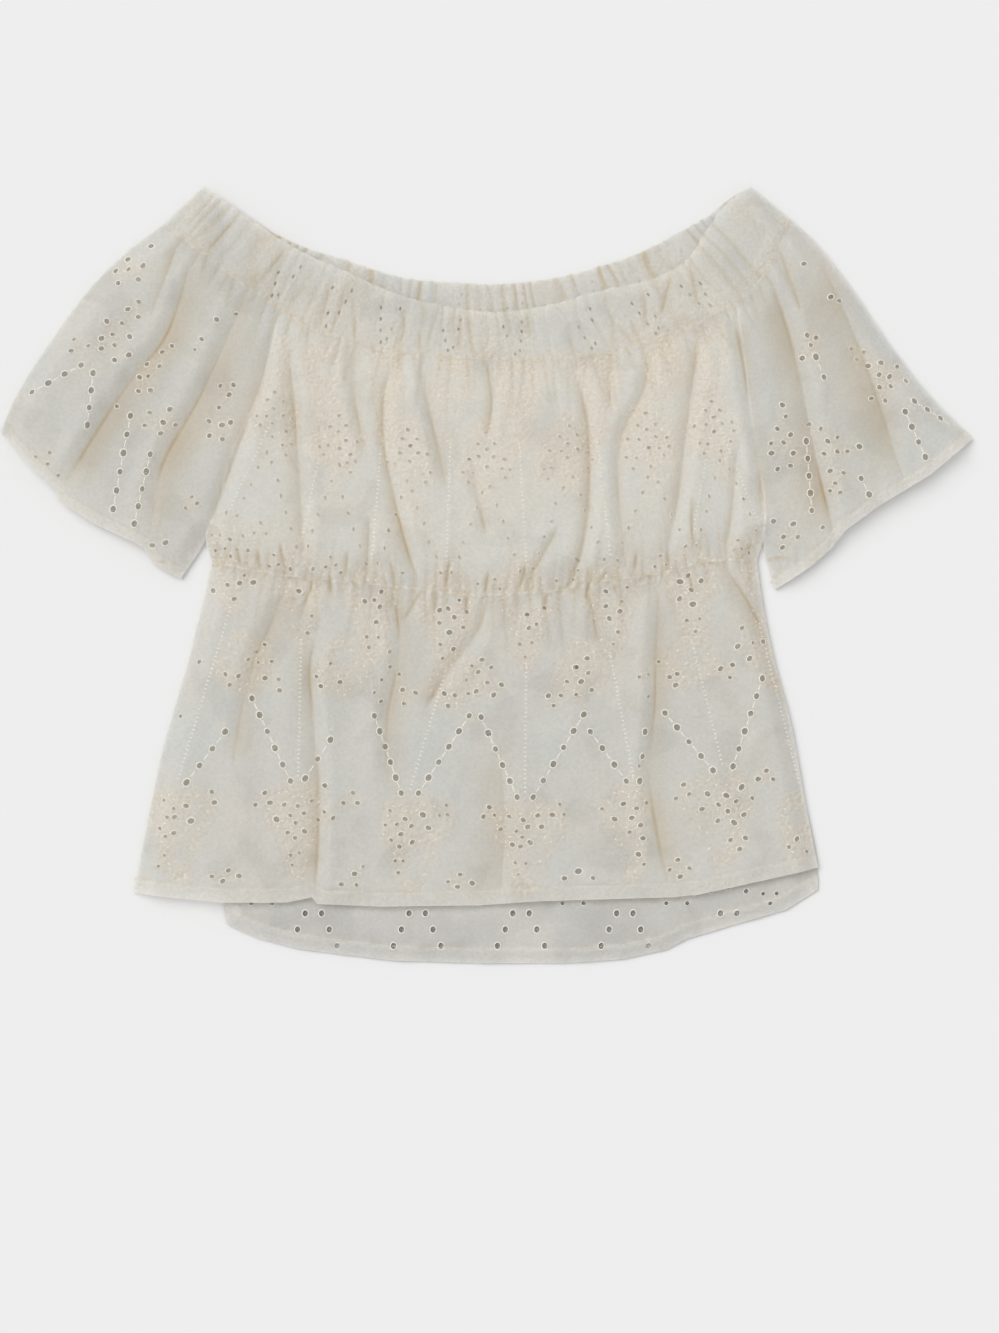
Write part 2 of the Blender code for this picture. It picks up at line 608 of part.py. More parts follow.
def build():
    clear_scene()
    upside_down = back_chains()
    left_back = joined([HEM_BACK[0]], PEPLUM_LEFT[:-1][::-1])
    right_back = joined([HEM_BACK[-1]], PEPLUM_RIGHT[::-1])
    cloth_wall("neck_casing_back", casing_panel(neck_back_seam, NECK_BACK_TOP), CASING_ROWS,
               back_underside, casing_back_wall, CREAM_DEEP)
    cloth_wall("bodice_back", bodice_panel(neck_back_seam, ARMHOLE_TOP_BACK), BODICE_BACK_ROWS,
               back_underside, back_wall, CREAM_DEEP)
    cloth_wall("peplum_back", peplum_panel(HEM_BACK, left_back, right_back), PEPLUM_BACK_ROWS,
               back_underside, back_wall, CREAM_DEEP, eyelets_of("peplum_back", upside_down))
    cloth_wall("sleeve_left_back", sleeve_left_panel(neck_back_seam, ARMHOLE_TOP_BACK),
               SLEEVE_BACK_ROWS, back_underside, back_wall, CREAM_DEEP,
               eyelets_of("sleeve_left_back", upside_down))
    cloth_wall("sleeve_right_back", sleeve_right_panel(neck_back_seam, ARMHOLE_TOP_BACK),
               SLEEVE_BACK_ROWS, back_underside, back_wall, CREAM_DEEP,
               eyelets_of("sleeve_right_back", upside_down))
    cloth_wall("neck_casing_front", casing_panel(neck_front_seam, NECK_FRONT_TOP), CASING_ROWS,
               casing_front_underside, casing_front_wall, CREAM)
    cloth_wall("bodice_front", bodice_panel(neck_front_seam, ARMHOLE_TOP_FRONT),
               BODICE_FRONT_ROWS, front_underside, front_wall, CREAM)
    cloth_wall("peplum_front", peplum_panel(HEM_FRONT, PEPLUM_LEFT[::-1], PEPLUM_RIGHT[::-1]),
               PEPLUM_FRONT_ROWS, front_underside, front_wall, CREAM,
               eyelets_of("peplum_front", FRONT_CHAINS))
    cloth_wall("sleeve_left_front", sleeve_left_panel(neck_front_seam, ARMHOLE_TOP_FRONT),
               SLEEVE_FRONT_ROWS, front_underside, front_wall, CREAM,
               eyelets_of("sleeve_left_front", FRONT_CHAINS))
    cloth_wall("sleeve_right_front", sleeve_right_panel(neck_front_seam, ARMHOLE_TOP_FRONT),
               SLEEVE_FRONT_ROWS, front_underside, front_wall, CREAM,
               eyelets_of("sleeve_right_front", FRONT_CHAINS))


build()
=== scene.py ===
"""The look of the off-shoulder eyelet blouse: fine cloth, gathers, embroidery and light."""

from collections import namedtuple
from math import cos, pi, radians, sin, tau

import bmesh
import bpy
import numpy as np
from mathutils import Matrix, Vector
from mathutils.geometry import delaunay_2d_cdt
from mathutils.kdtree import KDTree


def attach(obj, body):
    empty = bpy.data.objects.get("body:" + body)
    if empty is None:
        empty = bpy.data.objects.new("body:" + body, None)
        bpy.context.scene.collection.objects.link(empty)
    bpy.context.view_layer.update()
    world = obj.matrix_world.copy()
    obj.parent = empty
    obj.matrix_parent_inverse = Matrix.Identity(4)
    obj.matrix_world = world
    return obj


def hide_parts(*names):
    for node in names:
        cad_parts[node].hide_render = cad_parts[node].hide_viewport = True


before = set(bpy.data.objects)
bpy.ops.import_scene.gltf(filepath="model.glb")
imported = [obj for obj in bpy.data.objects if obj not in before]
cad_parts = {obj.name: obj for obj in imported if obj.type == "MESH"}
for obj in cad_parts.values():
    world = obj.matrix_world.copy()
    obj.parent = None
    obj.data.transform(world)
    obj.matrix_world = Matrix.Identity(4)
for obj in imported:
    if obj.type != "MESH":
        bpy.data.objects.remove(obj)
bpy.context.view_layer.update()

MM = 0.001
CLOTH = 1.5               # wall of the cloth in the frame, mm
SHEET = 0.42              # the voile as it is seen, in the middle of that wall
FRONT_BASE = 3.2          # middle of the front cloth where nothing lifts it
LAYER_GAP = 0.3
SIDE_RISE = 16.0          # the front leaves the back over this way in from a side
EDGE_GAP = -0.18          # seams overlap by a little, so that none shows light

PUFF_BODICE = 6.0
PUFF_PEPLUM = 4.0
PUFF_SLEEVE = 5.0
BODICE_PUFF_RANGE = 26.0

# Outlines, as x, y in millimetres.
NECK_FRONT_TOP = [
    (-213, 292), (-177, 267), (-143, 245), (-106, 228), (-65, 210), (-27, 201), (10, 197),
    (48, 203), (85, 213), (123, 222), (148, 234), (165, 258), (180, 278), (198, 292)]
NECK_FRONT_SEAM = [
    (-243, 263), (-208, 236), (-176, 213), (-131, 184), (-80, 169), (-35, 164), (10, 161),
    (55, 162), (102, 168), (142, 180), (177, 197), (202, 216), (217, 240), (228, 267)]
NECK_BACK_TOP = [
    (-213, 292), (-177, 268), (-143, 249), (-106, 237), (-65, 224), (-27, 220), (10, 219),
    (48, 223), (85, 232), (123, 246), (147, 259), (168, 271), (184, 284), (198, 292)]
NECK_BACK_SEAM = [
    (-243, 263), (-204, 234), (-166, 212), (-121, 196), (-72, 186), (-31, 182), (10, 181),
    (51, 184), (94, 192), (136, 205), (164, 217), (193, 234), (212, 251), (228, 267)]
WAIST = [
    (-206, 9), (-153, 0), (-97, -6), (-49, -11), (-15, -15), (26, -14), (57, -11),
    (86, -5), (130, 1), (167, 10), (203, 11)]
ARMHOLE_LEFT = [(-211, 27), (-202, 51), (-191, 93), (-174, 130), (-163, 164)]
ARMHOLE_RIGHT = [(208, 27), (209, 53), (204, 86), (199, 120), (195, 154), (191, 183)]
WAIST_LEFT = (-206, 9)
WAIST_RIGHT = (203, 11)
PEPLUM_LEFT = [(-206, 9), (-211, -12), (-222, -57), (-245, -139), (-256, -192), (-265, -239)]
PEPLUM_RIGHT = [(203, 11), (207, -19), (216, -64), (228, -109), (239, -169), (249, -220)]
HEM_FRONT = [
    (-265, -239), (-240, -242), (-198, -246), (-150, -246), (-131, -242), (-127, -247),
    (-80, -249), (-5, -248), (38, -245), (138, -242), (159, -240), (196, -232), (249, -220)]
HEM_BACK = [
    (-265, -239), (-230, -240), (-199, -241), (-195, -263), (-173, -273), (-143, -281),
    (-105, -286), (-70, -290), (-5, -292), (57, -292), (103, -289), (135, -282),
    (150, -274), (183, -264), (225, -252), (249, -237)]
SLEEVE_LEFT_FOLD = [(-365, 107), (-355, 131), (-329, 173), (-296, 217), (-272, 241), (-243, 263)]
SLEEVE_LEFT_HEM = [
    (-365, 107), (-342, 81), (-322, 62), (-322, 56), (-294, 38), (-266, 25), (-257, 20),
    (-252, 10), (-241, 3), (-230, -3)]
SLEEVE_RIGHT_FOLD = [(365, 102), (333, 134), (303, 172), (273, 216), (246, 250), (228, 267)]
SLEEVE_RIGHT_HEM = [
    (217, -11), (228, -4), (243, 6), (258, 19), (269, 33), (295, 52), (333, 75), (365, 102)]
ARMHOLE_TOP_FRONT = (-155, 188)
ARMHOLE_TOP_BACK = (-152, 184)

# The large folds: a valley along the route and a ridge beside it.
Fold = namedtuple("Fold", "route share width ridge side")
FRONT_FOLDS = [
    Fold([(-148, 176), (-143, 108), (-139, 56), (-138, 4)], 0.95, 6.5, 2.4, 1),
    Fold([(-99, 174), (-99, 131), (-90, 86)], 0.85, 5.5, 1.6, -1),
    Fold([(-88, 46), (-90, -6)], 0.8, 5.0, 1.2, 1),
    Fold([(-62, 168), (-73, 150), (-78, 111), (-70, 60), (-57, 11), (-49, -12)], 1.0, 6.0, 2.0, 1),
    Fold([(-50, 167), (-48, 146), (-39, 104), (-28, 58)], 0.9, 5.5, 1.8, -1),
    Fold([(-1, 164), (4, 131), (0, 100)], 0.75, 5.0, 1.4, 1),
    Fold([(-12, 84), (-6, 54), (0, 28)], 0.7, 5.0, 1.2, -1),
    Fold([(63, 165), (75, 118), (77, 66), (69, 11), (58, -12)], 1.0, 6.0, 2.2, 1),
    Fold([(126, 176), (116, 135), (101, 103), (98, 71), (102, 30), (105, -2)], 1.0, 6.0, 2.0, -1),
    Fold([(160, 190), (156, 153), (150, 108), (142, 47), (132, 0)], 1.0, 6.5, 2.4, 1),
    Fold([(189, 100), (186, 72), (182, 33), (176, 12)], 0.8, 5.0, 1.2, 1),
    Fold([(54, 36), (38, 8), (27, -14)], 0.85, 5.0, 1.4, -1),
    Fold([(95, 168), (92, 150), (94, 121)], 0.7, 4.5, 1.0, 1),
    Fold([(-158, 190), (-170, 140), (-186, 96), (-200, 58), (-210, 28)], 0.9, 6.5, 1.8, 1),
    Fold([(184, 200), (192, 160), (198, 118), (204, 84), (206, 36)], 0.9, 6.5, 1.8, -1),
    Fold([(-153, 0), (-158, -27), (-175, -65), (-185, -106), (-191, -145)], 1.0, 7.0, 2.4, -1),
    Fold([(-129, -3), (-135, -17), (-138, -36)], 0.8, 5.0, 1.2, 1),
    Fold([(-126, -40), (-132, -62), (-130, -109), (-126, -160), (-129, -246)], 1.0, 6.5, 2.6, 1),
    Fold([(-70, -7), (-66, -58), (-75, -110), (-73, -172)], 0.95, 7.0, 1.8, -1),
    Fold([(-49, -12), (-63, -36)], 0.8, 5.0, 1.2, 1),
    Fold([(1, -17), (-5, -39), (-29, -73), (-48, -104)], 0.9, 6.5, 1.8, 1),
    Fold([(75, -9), (79, -27), (84, -54)], 0.8, 5.5, 1.4, -1),
    Fold([(130, 0), (127, -49), (126, -98), (122, -148), (130, -207), (138, -242)],
         1.0, 7.0, 2.6, -1),
    Fold([(175, 10), (195, -18), (211, -52), (226, -106)], 0.9, 6.5, 1.8, 1),
    Fold([(10, -130), (14, -184), (10, -247)], 0.6, 9.0, 0.8, 1),
    Fold([(-222, 238), (-229, 211), (-242, 177), (-267, 146), (-295, 104), (-321, 60)],
         1.0, 8.0, 3.4, -1),
    Fold([(-232, 250), (-243, 217), (-253, 192)], 0.8, 6.0, 1.2, 1),
    Fold([(-178, 216), (-216, 132), (-245, 78), (-252, 36), (-256, 18)], 1.0, 8.0, 2.6, -1),
    Fold([(211, 228), (225, 187), (234, 154), (244, 101), (262, 24)], 1.0, 8.0, 2.8, 1),
    Fold([(219, 246), (227, 222), (236, 196)], 0.8, 6.0, 1.2, -1),
    Fold([(250, 236), (276, 180), (300, 112), (314, 66)], 0.6, 10.0, 1.0, 1),
]
# Short creases that gather at the waist seam.
WAIST_CREASES = [
    [(-133, -1), (-131, -8), (-135, -17), (-137, -27)], [(-73, 13), (-69, -6), (-73, -30)],
    [(-15, -15), (-15, -32)], [(2, 4), (-2, -17)], [(69, 11), (61, -9), (55, -14)],
    [(75, 8), (78, -6), (75, -12), (79, -28)], [(92, 6), (84, -6), (77, -7)],
    [(95, -6), (97, -14)], [(136, 22), (135, 4), (129, -4)], [(155, 62), (154, 36), (157, 14)],
    [(199, 25), (195, 14)], [(-155, 25), (-151, 0)], [(-28, 12), (-31, -13)],
    [(30, 10), (24, -14)], [(-104, 20), (-106, -6)], [(-172, 20), (-170, 2)],
    [(-188, 22), (-184, 5)], [(113, 18), (111, 0)], [(-118, 4), (-116, -18)],
    [(45, -12), (44, -30)], [(150, 5), (156, -14)], [(-37, -12), (-39, -28)]]

# Sharper creases that run up into the neck casing.
CASING_CREASES = [
    [(-116, 221), (-126, 183)], [(-104, 215), (-118, 179)], [(-99, 210), (-99, 172)],
    [(-62, 202), (-63, 179), (-68, 166)], [(-50, 184), (-50, 166)], [(-35, 204), (-46, 164)],
    [(-19, 200), (-21, 164)], [(-15, 199), (-9, 160)], [(63, 178), (66, 163)],
    [(93, 200), (96, 182), (94, 166)], [(-169, 210), (-203, 158)], [(-159, 193), (-164, 176)],
    [(30, 198), (33, 176)], [(118, 214), (120, 180)], [(139, 228), (130, 190)],
    [(152, 236), (160, 196)], [(-150, 246), (-172, 216)], [(-186, 270), (-212, 240)],
    [(108, 193), (118, 170), (126, 162)]]
BackFold = namedtuple("BackFold", "x_waist x_end width")
BACK_BODICE_FOLDS = [
    BackFold(-168, -128, 9), BackFold(-120, -92, 8), BackFold(-72, -60, 9),
    BackFold(-24, -22, 8), BackFold(30, 26, 9), BackFold(76, 66, 8),
    BackFold(118, 104, 9), BackFold(164, 146, 8)]
BACK_PEPLUM_FOLDS = [
    BackFold(-160, -196, 11), BackFold(-104, -132, 10), BackFold(-46, -62, 12),
    BackFold(12, 4, 10), BackFold(66, 78, 11), BackFold(122, 146, 10), BackFold(168, 206, 10)]

# The eyelets of the V-shaped rows, and how far any eyelet stays from the edge of its panel.
ARM_LONG = 5.2
ARM_SHORT = 4.4
RIM_MARGIN = 2.5
# One repeat of the embroidery, from the foot of its V: places, and sizes but for the arms.
ARM_HOLES = [(6.3, 0.5), (12.2, 12.6), (18.3, 24.9), (24.4, 37.2), (30.6, 49.6), (37, 62)]
CLUSTER_HOLES = [
    (13.5, -16, 3.8), (0, -19, 4.2), (7, -26, 3.8), (19.5, -26, 3.6), (0, -32, 4.0),
    (10.5, -38, 3.8), (0, -43, 3.8), (5.2, -54, 3.6), (0, -63, 3.8)]
SIDE_HOLES = [
    (32, -7, 3.4), (26.5, -14.3, 3.2), (37, -14.5, 3.2), (17, 76, 3.2), (26, 76, 3.2),
    (21.5, 69, 3.4)]
FAN_HOLES = [
    (0, 104, 4.2), (7, 97, 4.0), (0, 92, 4.2), (7.5, 86.5, 4.0), (17, 85.5, 4.0),
    (0, 80, 4.2), (11.5, 76, 4.0)]
SEED_LENGTH = 2.2
LOW_HOLES = [(0, -55.7, 3.8), (10, -61, 3.8), (0, -67, 3.8)]
SEED_STITCHES = [
    (9, -8), (16, -9), (24, -21), (25, -30), (17, -34), (15, -44), (10, -48), (9, -60),
    (5, -68), (4, -12), (13, -30), (21, -16), (6, -35), (0, -72)]
FAN_STITCHES = [
    (4, 110), (11, 103), (14, 93), (21, 90), (22, 82), (16, 78), (6, 74), (0, 70), (4, 85)]

# The foot of every V of the front, its two reaches, its lean and its parts: arms A,
# cluster C, side holes S and, between it and the next one, a fan F.
Motif = namedtuple("Motif", "x y left right lean parts")
PEPLUM_FEET = [
    Motif(-231, -157, 30, 34, 0, "CSF"), Motif(-141, -155, 34, 26, 2, "CSF"),
    Motif(-57, -165, 30, 42, -14, "CSF"), Motif(29, -167, 32, 42, 0, "CSF"),
    Motif(110, -155, 32, 12, 2, "CSF"), Motif(177, -146, 42, 30, 12, "CSF"),
    Motif(235, -160, 20, 12, 8, "CS")]
BODICE_FEET = [
    Motif(-192, 45, 20, 26, 6, "CASF"), Motif(-139, 21, 24, 26, 2, "CASF"),
    Motif(-86, 8, 26, 26, 0, "CASF"), Motif(-30, 0, 26, 27, 0, "CASF"),
    Motif(30, 3, 27, 27, 0, "CASF"), Motif(93, 11, 28, 28, 0, "CASF"),
    Motif(154, 21, 27, 25, -4, "CASF"), Motif(205, 33, 20, 18, -8, "CASF")]
TOP_FEET = [
    Motif(-162, 183, 14, 16, 10, ""), Motif(-121, 176, 16, 16, 6, ""),
    Motif(-78, 173, 16, 18, 3, ""), Motif(-27, 168, 18, 18, 0, ""),
    Motif(25, 168, 18, 18, 0, ""), Motif(83, 172, 18, 18, -3, ""),
    Motif(132, 180, 16, 16, -6, ""), Motif(171, 191, 14, 12, -10, "")]
Chain = namedtuple("Chain", "x0 y0 x1 y1 count")
FRONT_CHAINS = {
    "peplum_front": [
        Chain(-225, -156, -196, -118, 4), Chain(-147, -155, -176, -93, 6),
        Chain(-136, -153, -117, -124, 3), Chain(-64, -164, -84, -106, 6),
        Chain(-51, -164, -13, -106, 6), Chain(23, -167, -4, -107, 6),
        Chain(35, -167, 73, -105, 6), Chain(105, -155, 78, -118, 4),
        Chain(115, -155, 119, -118, 3), Chain(170, -147, 134, -104, 5),
        Chain(185, -144, 207, -78, 6)],
    "sleeve_left_front": [
        Chain(-304, 157, -341, 137, 4), Chain(-295, 151, -299, 112, 4),
        Chain(-267, 119, -280, 49, 6), Chain(-252, 90, -264, 38, 5)],
    "sleeve_right_front": [
        Chain(321, 130, 351, 111, 4), Chain(314, 122, 329, 88, 4), Chain(247, 163, 253, 148, 2),
        Chain(281, 72, 287, 60, 2), Chain(240, 100, 244, 48, 5)],
}

# The small eyelets of the front peplum, placed one by one, the large ones first.
PEPLUM_LARGE = [
    (-175, -6), (-141, -13), (-167, -77), (-222, -78), (-225, -173), (-222, -184), (-234, -194),
    (-158, -183), (-27, -43), (92, -34), (-48, -181), (69, -222), (146, -6), (155, -22),
    (189, -54), (197, -63), (192, -159), (180, -165), (166, -164), (175, -173), (162, -175),
    (182, -178), (193, -181), (173, -185), (185, -187), (184, -200), (97, -183)]
PEPLUM_SMALL = [
    (-189, 3), (-195, -7), (-185, -7), (-206, -12), (-189, -18), (-135, -43), (-166, -53),
    (-161, -66), (-156, -79), (-155, -86), (-215, -65), (-195, -74), (-187, -76), (-193, -83),
    (-207, -164), (-205, -172), (-233, -182), (-193, -221), (-206, -226), (-185, -227),
    (-197, -230), (-167, -163), (-173, -172), (-163, -171), (-152, -172), (-142, -174),
    (-147, -181), (-138, -180), (-150, -194), (-136, -192), (-143, -198), (-132, -169),
    (-121, -178), (-116, -183), (-121, -159), (-100, -163), (-107, -171), (-97, -171),
    (-99, -224), (-108, -232), (-125, -83), (-110, -80), (-91, -20), (-84, -19), (-78, -12),
    (-80, -25), (-82, -35), (-79, -96), (-63, -87), (-54, -89), (-61, -96), (-21, -20),
    (-29, -25), (-36, -26), (-25, -32), (-35, -36), (-14, -29), (-25, -56), (-4, -63), (4, -70),
    (-6, -74), (0, -81), (11, -82), (-7, -87), (5, -91), (-32, -90), (-23, -91), (-28, -99),
    (31, -30), (44, -26), (31, -40), (25, -52), (76, -63), (67, -69), (77, -74), (72, -80),
    (78, -86), (46, -91), (55, -90), (51, -98), (89, -12), (90, -24), (100, -28), (99, -44),
    (-62, -183), (-56, -189), (-44, -190), (-64, -194), (-55, -200), (-65, -204), (-19, -226),
    (-28, -230), (-10, -231), (-21, -234), (3, -175), (-3, -181), (17, -182), (11, -192),
    (27, -185), (31, -190), (41, -190), (38, -181), (50, -180), (19, -202), (32, -201),
    (25, -205), (59, -228), (79, -227), (151, 0), (161, -4), (153, -11), (144, -19), (151, -34),
    (191, -41), (185, -67), (175, -70), (182, -77), (208, -50), (144, -75), (137, -76),
    (142, -83), (200, -167), (152, -165), (147, -158), (187, -170), (194, -197), (190, -207),
    (210, -147), (204, -154), (215, -153), (144, -215), (153, -220), (137, -222), (146, -226),
    (233, -199), (226, -205), (102, -172), (109, -182), (113, -175), (115, -188), (107, -194),
    (117, -198), (114, -210)]
PEPLUM_TINY = [
    (-175, 4), (-181, -1), (-164, 0), (-136, -5), (-132, -31), (-173, -57), (-171, -65),
    (-150, -78), (-179, -64), (-229, -107), (-241, -210), (-247, -218), (-242, -197),
    (-240, -181), (-235, -175), (-246, -191), (-242, -169), (-143, -187), (-148, -210),
    (-141, -208), (-145, -218), (-126, -184), (-98, -232), (-92, -219), (-118, -67), (-128, -76),
    (-90, -46), (-81, -47), (-88, -55), (-73, -58), (-73, -70), (-78, -79), (-85, -88),
    (-66, -74), (-18, -40), (-34, -53), (-32, -63), (-16, -79), (-14, -90), (-11, -68), (37, -37),
    (35, -52), (29, -61), (61, -81), (67, -90), (96, -12), (106, -10), (102, -21), (95, -52),
    (-36, -180), (-29, -180), (-31, -173), (-68, -188), (-69, -214), (-62, -215), (-67, -223),
    (-76, -187), (-72, -178), (-72, -199), (6, -181), (22, -192), (58, -179), (56, -172),
    (26, -197), (21, -217), (29, -217), (24, -225), (155, 6), (159, -33), (157, -42), (200, -52),
    (129, -65), (121, -75), (121, -91), (114, -77), (143, -167), (240, -207), (87, -176),
    (120, -171), (119, -218), (115, -143)]

# The sleeves' cloth lies on the bias, so their small eyelets are placed one by one.
SLEEVE_LEFT_SMALL = [
    (-269, 199), (-261, 204), (-262, 194), (-284, 189), (-273, 189), (-289, 178), (-280, 180),
    (-268, 179), (-288, 170), (-279, 171), (-279, 160), (-268, 165), (-251, 246), (-269, 237),
    (-278, 228), (-269, 229), (-257, 232), (-261, 222), (-276, 219), (-288, 222), (-243, 168),
    (-235, 171), (-255, 157), (-246, 156), (-261, 147), (-253, 148), (-260, 138), (-252, 139),
    (-278, 127), (-237, 123), (-243, 114), (-244, 106), (-234, 113), (-252, 121), (-256, 111),
    (-188, 195), (-202, 192), (-199, 142), (-189, 143), (-194, 135), (-201, 125), (-209, 114),
    (-199, 111), (-191, 114), (-207, 105), (-198, 102), (-250, 21), (-240, 24), (-296, 157)]
SLEEVE_LEFT_TINY = [
    (-309, 177), (-312, 168), (-299, 172), (-328, 91), (-338, 88), (-330, 82), (-322, 74),
    (-213, 177), (-218, 168), (-222, 59), (-225, 50), (-218, 53)]
SLEEVE_RIGHT_SMALL = [
    (238, 233), (261, 226), (271, 213), (276, 204), (265, 206), (258, 209), (289, 199),
    (240, 180), (248, 178), (243, 171), (246, 158), (237, 163), (287, 156),
    (296, 159), (309, 156), (294, 150), (303, 149), (315, 146), (295, 141), (304, 141),
    (289, 133), (300, 130), (242, 112), (250, 109), (255, 99), (264, 102),
    (254, 91), (263, 93), (270, 93), (264, 86), (279, 96), (258, 78),
    (267, 77), (262, 68), (258, 62), (265, 61), (222, 128), (225, 119), (219, 110), (227, 105),
    (213, 98), (222, 98), (213, 90), (231, 91), (219, 80), (228, 82),
    (216, 39), (231, 38), (222, 29), (234, 29), (213, 21), (222, 21), (252, 35)]
SLEEVE_RIGHT_TINY = [(274, 169), (282, 166), (277, 161), (324, 154), (320, 147), (327, 146)]

BACK_COLUMNS = (-208, -130, -52, 26, 104, 182)
BACK_APEX_ROWS = (-84, -254)
BACK_SLEEVE_APEXES = [(-306, 148, -38), (-262, 106, -20), (304, 146, 38), (258, 102, 20)]


class Curve:
    """A line through plan points, smooth unless it is a hem with corners."""

    def __init__(self, points, smooth=True):
        knots = np.array(points, dtype=float)
        at = np.concatenate([[0.0], np.cumsum(np.hypot(*np.diff(knots, axis=0).T))])
        dense = np.unique(np.concatenate([np.linspace(0.0, at[-1], 400), at]))
        if smooth:
            self.xy = self.hermite(knots, at, dense)
        else:
            self.xy = np.column_stack([np.interp(dense, at, knots[:, k]) for k in (0, 1)])
        steps = np.hypot(*np.diff(self.xy, axis=0).T)
        self.at = np.concatenate([[0.0], np.cumsum(steps)])
        self.length = self.at[-1]

    @staticmethod
    def hermite(knots, at, dense):
        slopes = np.gradient(knots, at, axis=0)
        k = np.clip(np.searchsorted(at, dense, side="right") - 1, 0, len(at) - 2)
        span = (at[k + 1] - at[k])[:, None]
        t = ((dense - at[k])[:, None]) / span
        start = (2 * t**3 - 3 * t**2 + 1) * knots[k] + (t**3 - 2 * t**2 + t) * span * slopes[k]
        finish = (3 * t**2 - 2 * t**3) * knots[k + 1] + (t**3 - t**2) * span * slopes[k + 1]
        return start + finish

    def __call__(self, share):
        at = np.asarray(share) * self.length
        return np.stack([np.interp(at, self.at, self.xy[:, k]) for k in (0, 1)], axis=-1)

    def every(self, step):
        """Points about this far apart along the line, both ends among them."""
        return self(np.linspace(0.0, 1.0, max(2, int(round(self.length / step)) + 1)))

    def between(self, x_from, x_to):
        inside = (self.xy[:, 0] > x_from) & (self.xy[:, 0] < x_to)
        ends = [(x, np.interp(x, self.xy[:, 0], self.xy[:, 1])) for x in (x_from, x_to)]
        return Curve([ends[0], *self.xy[inside][::4].tolist(), ends[1]], smooth=False)


def smoothstep(t):
    t = np.clip(t, 0.0, 1.0)
    return t * t * (3 - 2 * t)


def bell(distance, width):
    return np.exp(-((distance / width) ** 2))


def route_distance(route, x, y):
    """Distance to a route, the side it is on (1 is left) and the share of the length."""
    points = np.array(route, dtype=float)
    spans = np.hypot(*np.diff(points, axis=0).T)
    starts = np.concatenate([[0.0], np.cumsum(spans)])
    best = np.full(np.shape(x), np.inf)
    side = np.ones(np.shape(x))
    share = np.zeros(np.shape(x))
    for k, span in enumerate(spans):
        (ax, ay), (bx, by) = points[k], points[k + 1]
        ex, ey = (bx - ax) / span, (by - ay) / span
        along = np.clip((x - ax) * ex + (y - ay) * ey, 0.0, span)
        away = np.hypot(x - ax - along * ex, y - ay - along * ey)
        nearer = away < best
        best = np.where(nearer, away, best)
        side = np.where(nearer, np.sign(ex * (y - ay) - ey * (x - ax) + 1e-9), side)
        share = np.where(nearer, (starts[k] + along) / starts[-1], share)
    return best, side, share


def joined(*parts):
    points = []
    for part in parts:
        points += [tuple(p) for p in part if not points or tuple(p) != points[-1]]
    return points


neck_front_seam = Curve(NECK_FRONT_SEAM)
neck_back_seam = Curve(NECK_BACK_SEAM)
neck_front_top = Curve(NECK_FRONT_TOP)
neck_back_top = Curve(NECK_BACK_TOP)
waist = Curve(WAIST)
SIDE_FOLDS = [
    joined(PEPLUM_LEFT[::-1], [ARMHOLE_LEFT[0], SLEEVE_LEFT_HEM[-1]]),
    joined(SLEEVE_LEFT_FOLD, NECK_FRONT_TOP[:1]),
    joined(PEPLUM_RIGHT[::-1], [ARMHOLE_RIGHT[0], SLEEVE_RIGHT_HEM[0]]),
    joined(SLEEVE_RIGHT_FOLD, NECK_FRONT_TOP[-1:]),
]


def smooth_route(points):
    return Curve(points).every(6.0)


FOLD_LINES = [smooth_route(fold.route) for fold in FRONT_FOLDS]
WAIST_LINES = [smooth_route(route) for route in WAIST_CREASES]
CASING_LINES = [smooth_route(route) for route in CASING_CREASES]


def side_distance(x, y):
    return np.min([route_distance(route, x, y)[0] for route in SIDE_FOLDS], axis=0)


def seam_y(seam, x):
    return np.interp(x, seam.xy[:, 0], seam.xy[:, 1])


def front_hem_y(x):
    return np.interp(x, *np.transpose(HEM_FRONT))


def field(x, y, cell_x, cell_y, seed):
    """Smooth uneven values from -1 to 1, with lumps about one cell across."""
    lattice = np.random.RandomState(seed).uniform(-1.0, 1.0, (97, 97))
    p, q = x / cell_x + 400.0, y / cell_y + 400.0
    i, j = np.floor(p).astype(int), np.floor(q).astype(int)
    s, t = smoothstep(p - i), smoothstep(q - j)
    a, b = lattice[i % 97, j % 97], lattice[(i + 1) % 97, j % 97]
    c, d = lattice[i % 97, (j + 1) % 97], lattice[(i + 1) % 97, (j + 1) % 97]
    return (a * (1 - s) + b * s) * (1 - t) + (c * (1 - s) + d * s) * t


Pleat = namedtuple("Pleat", "x y dx dy length width rise")


def seam_pleats(seam, x_from, x_to, pitch, reach, rise, fan, seed):
    """Small gathers that leave a seam at uneven places, with uneven lengths."""
    random = np.random.RandomState(seed)
    pleats = []
    x = x_from
    while x < x_to:
        turn = fan * (x - 0.5 * (x_from + x_to)) / 200.0 + random.uniform(-0.12, 0.12)
        down = -1.0 if reach < 0 else 1.0
        length = abs(reach) * random.uniform(0.35, 1.35)
        pleats.append(Pleat(x, float(seam_y(seam, x)), sin(turn) * down, cos(turn) * down,
                            length, random.uniform(1.5, 3.0), rise * random.uniform(0.5, 1.2)))
        x += pitch * random.uniform(0.6, 1.5)
    return pleats


PLEATS = [
    *seam_pleats(waist, -200, 198, 8.0, -40.0, 1.0, -0.15, 11),
    *seam_pleats(waist, -200, 198, 8.5, 34.0, 1.0, -0.1, 12),
    *seam_pleats(neck_front_seam, -232, 222, 7.5, -42.0, 1.0, -0.45, 13),
]


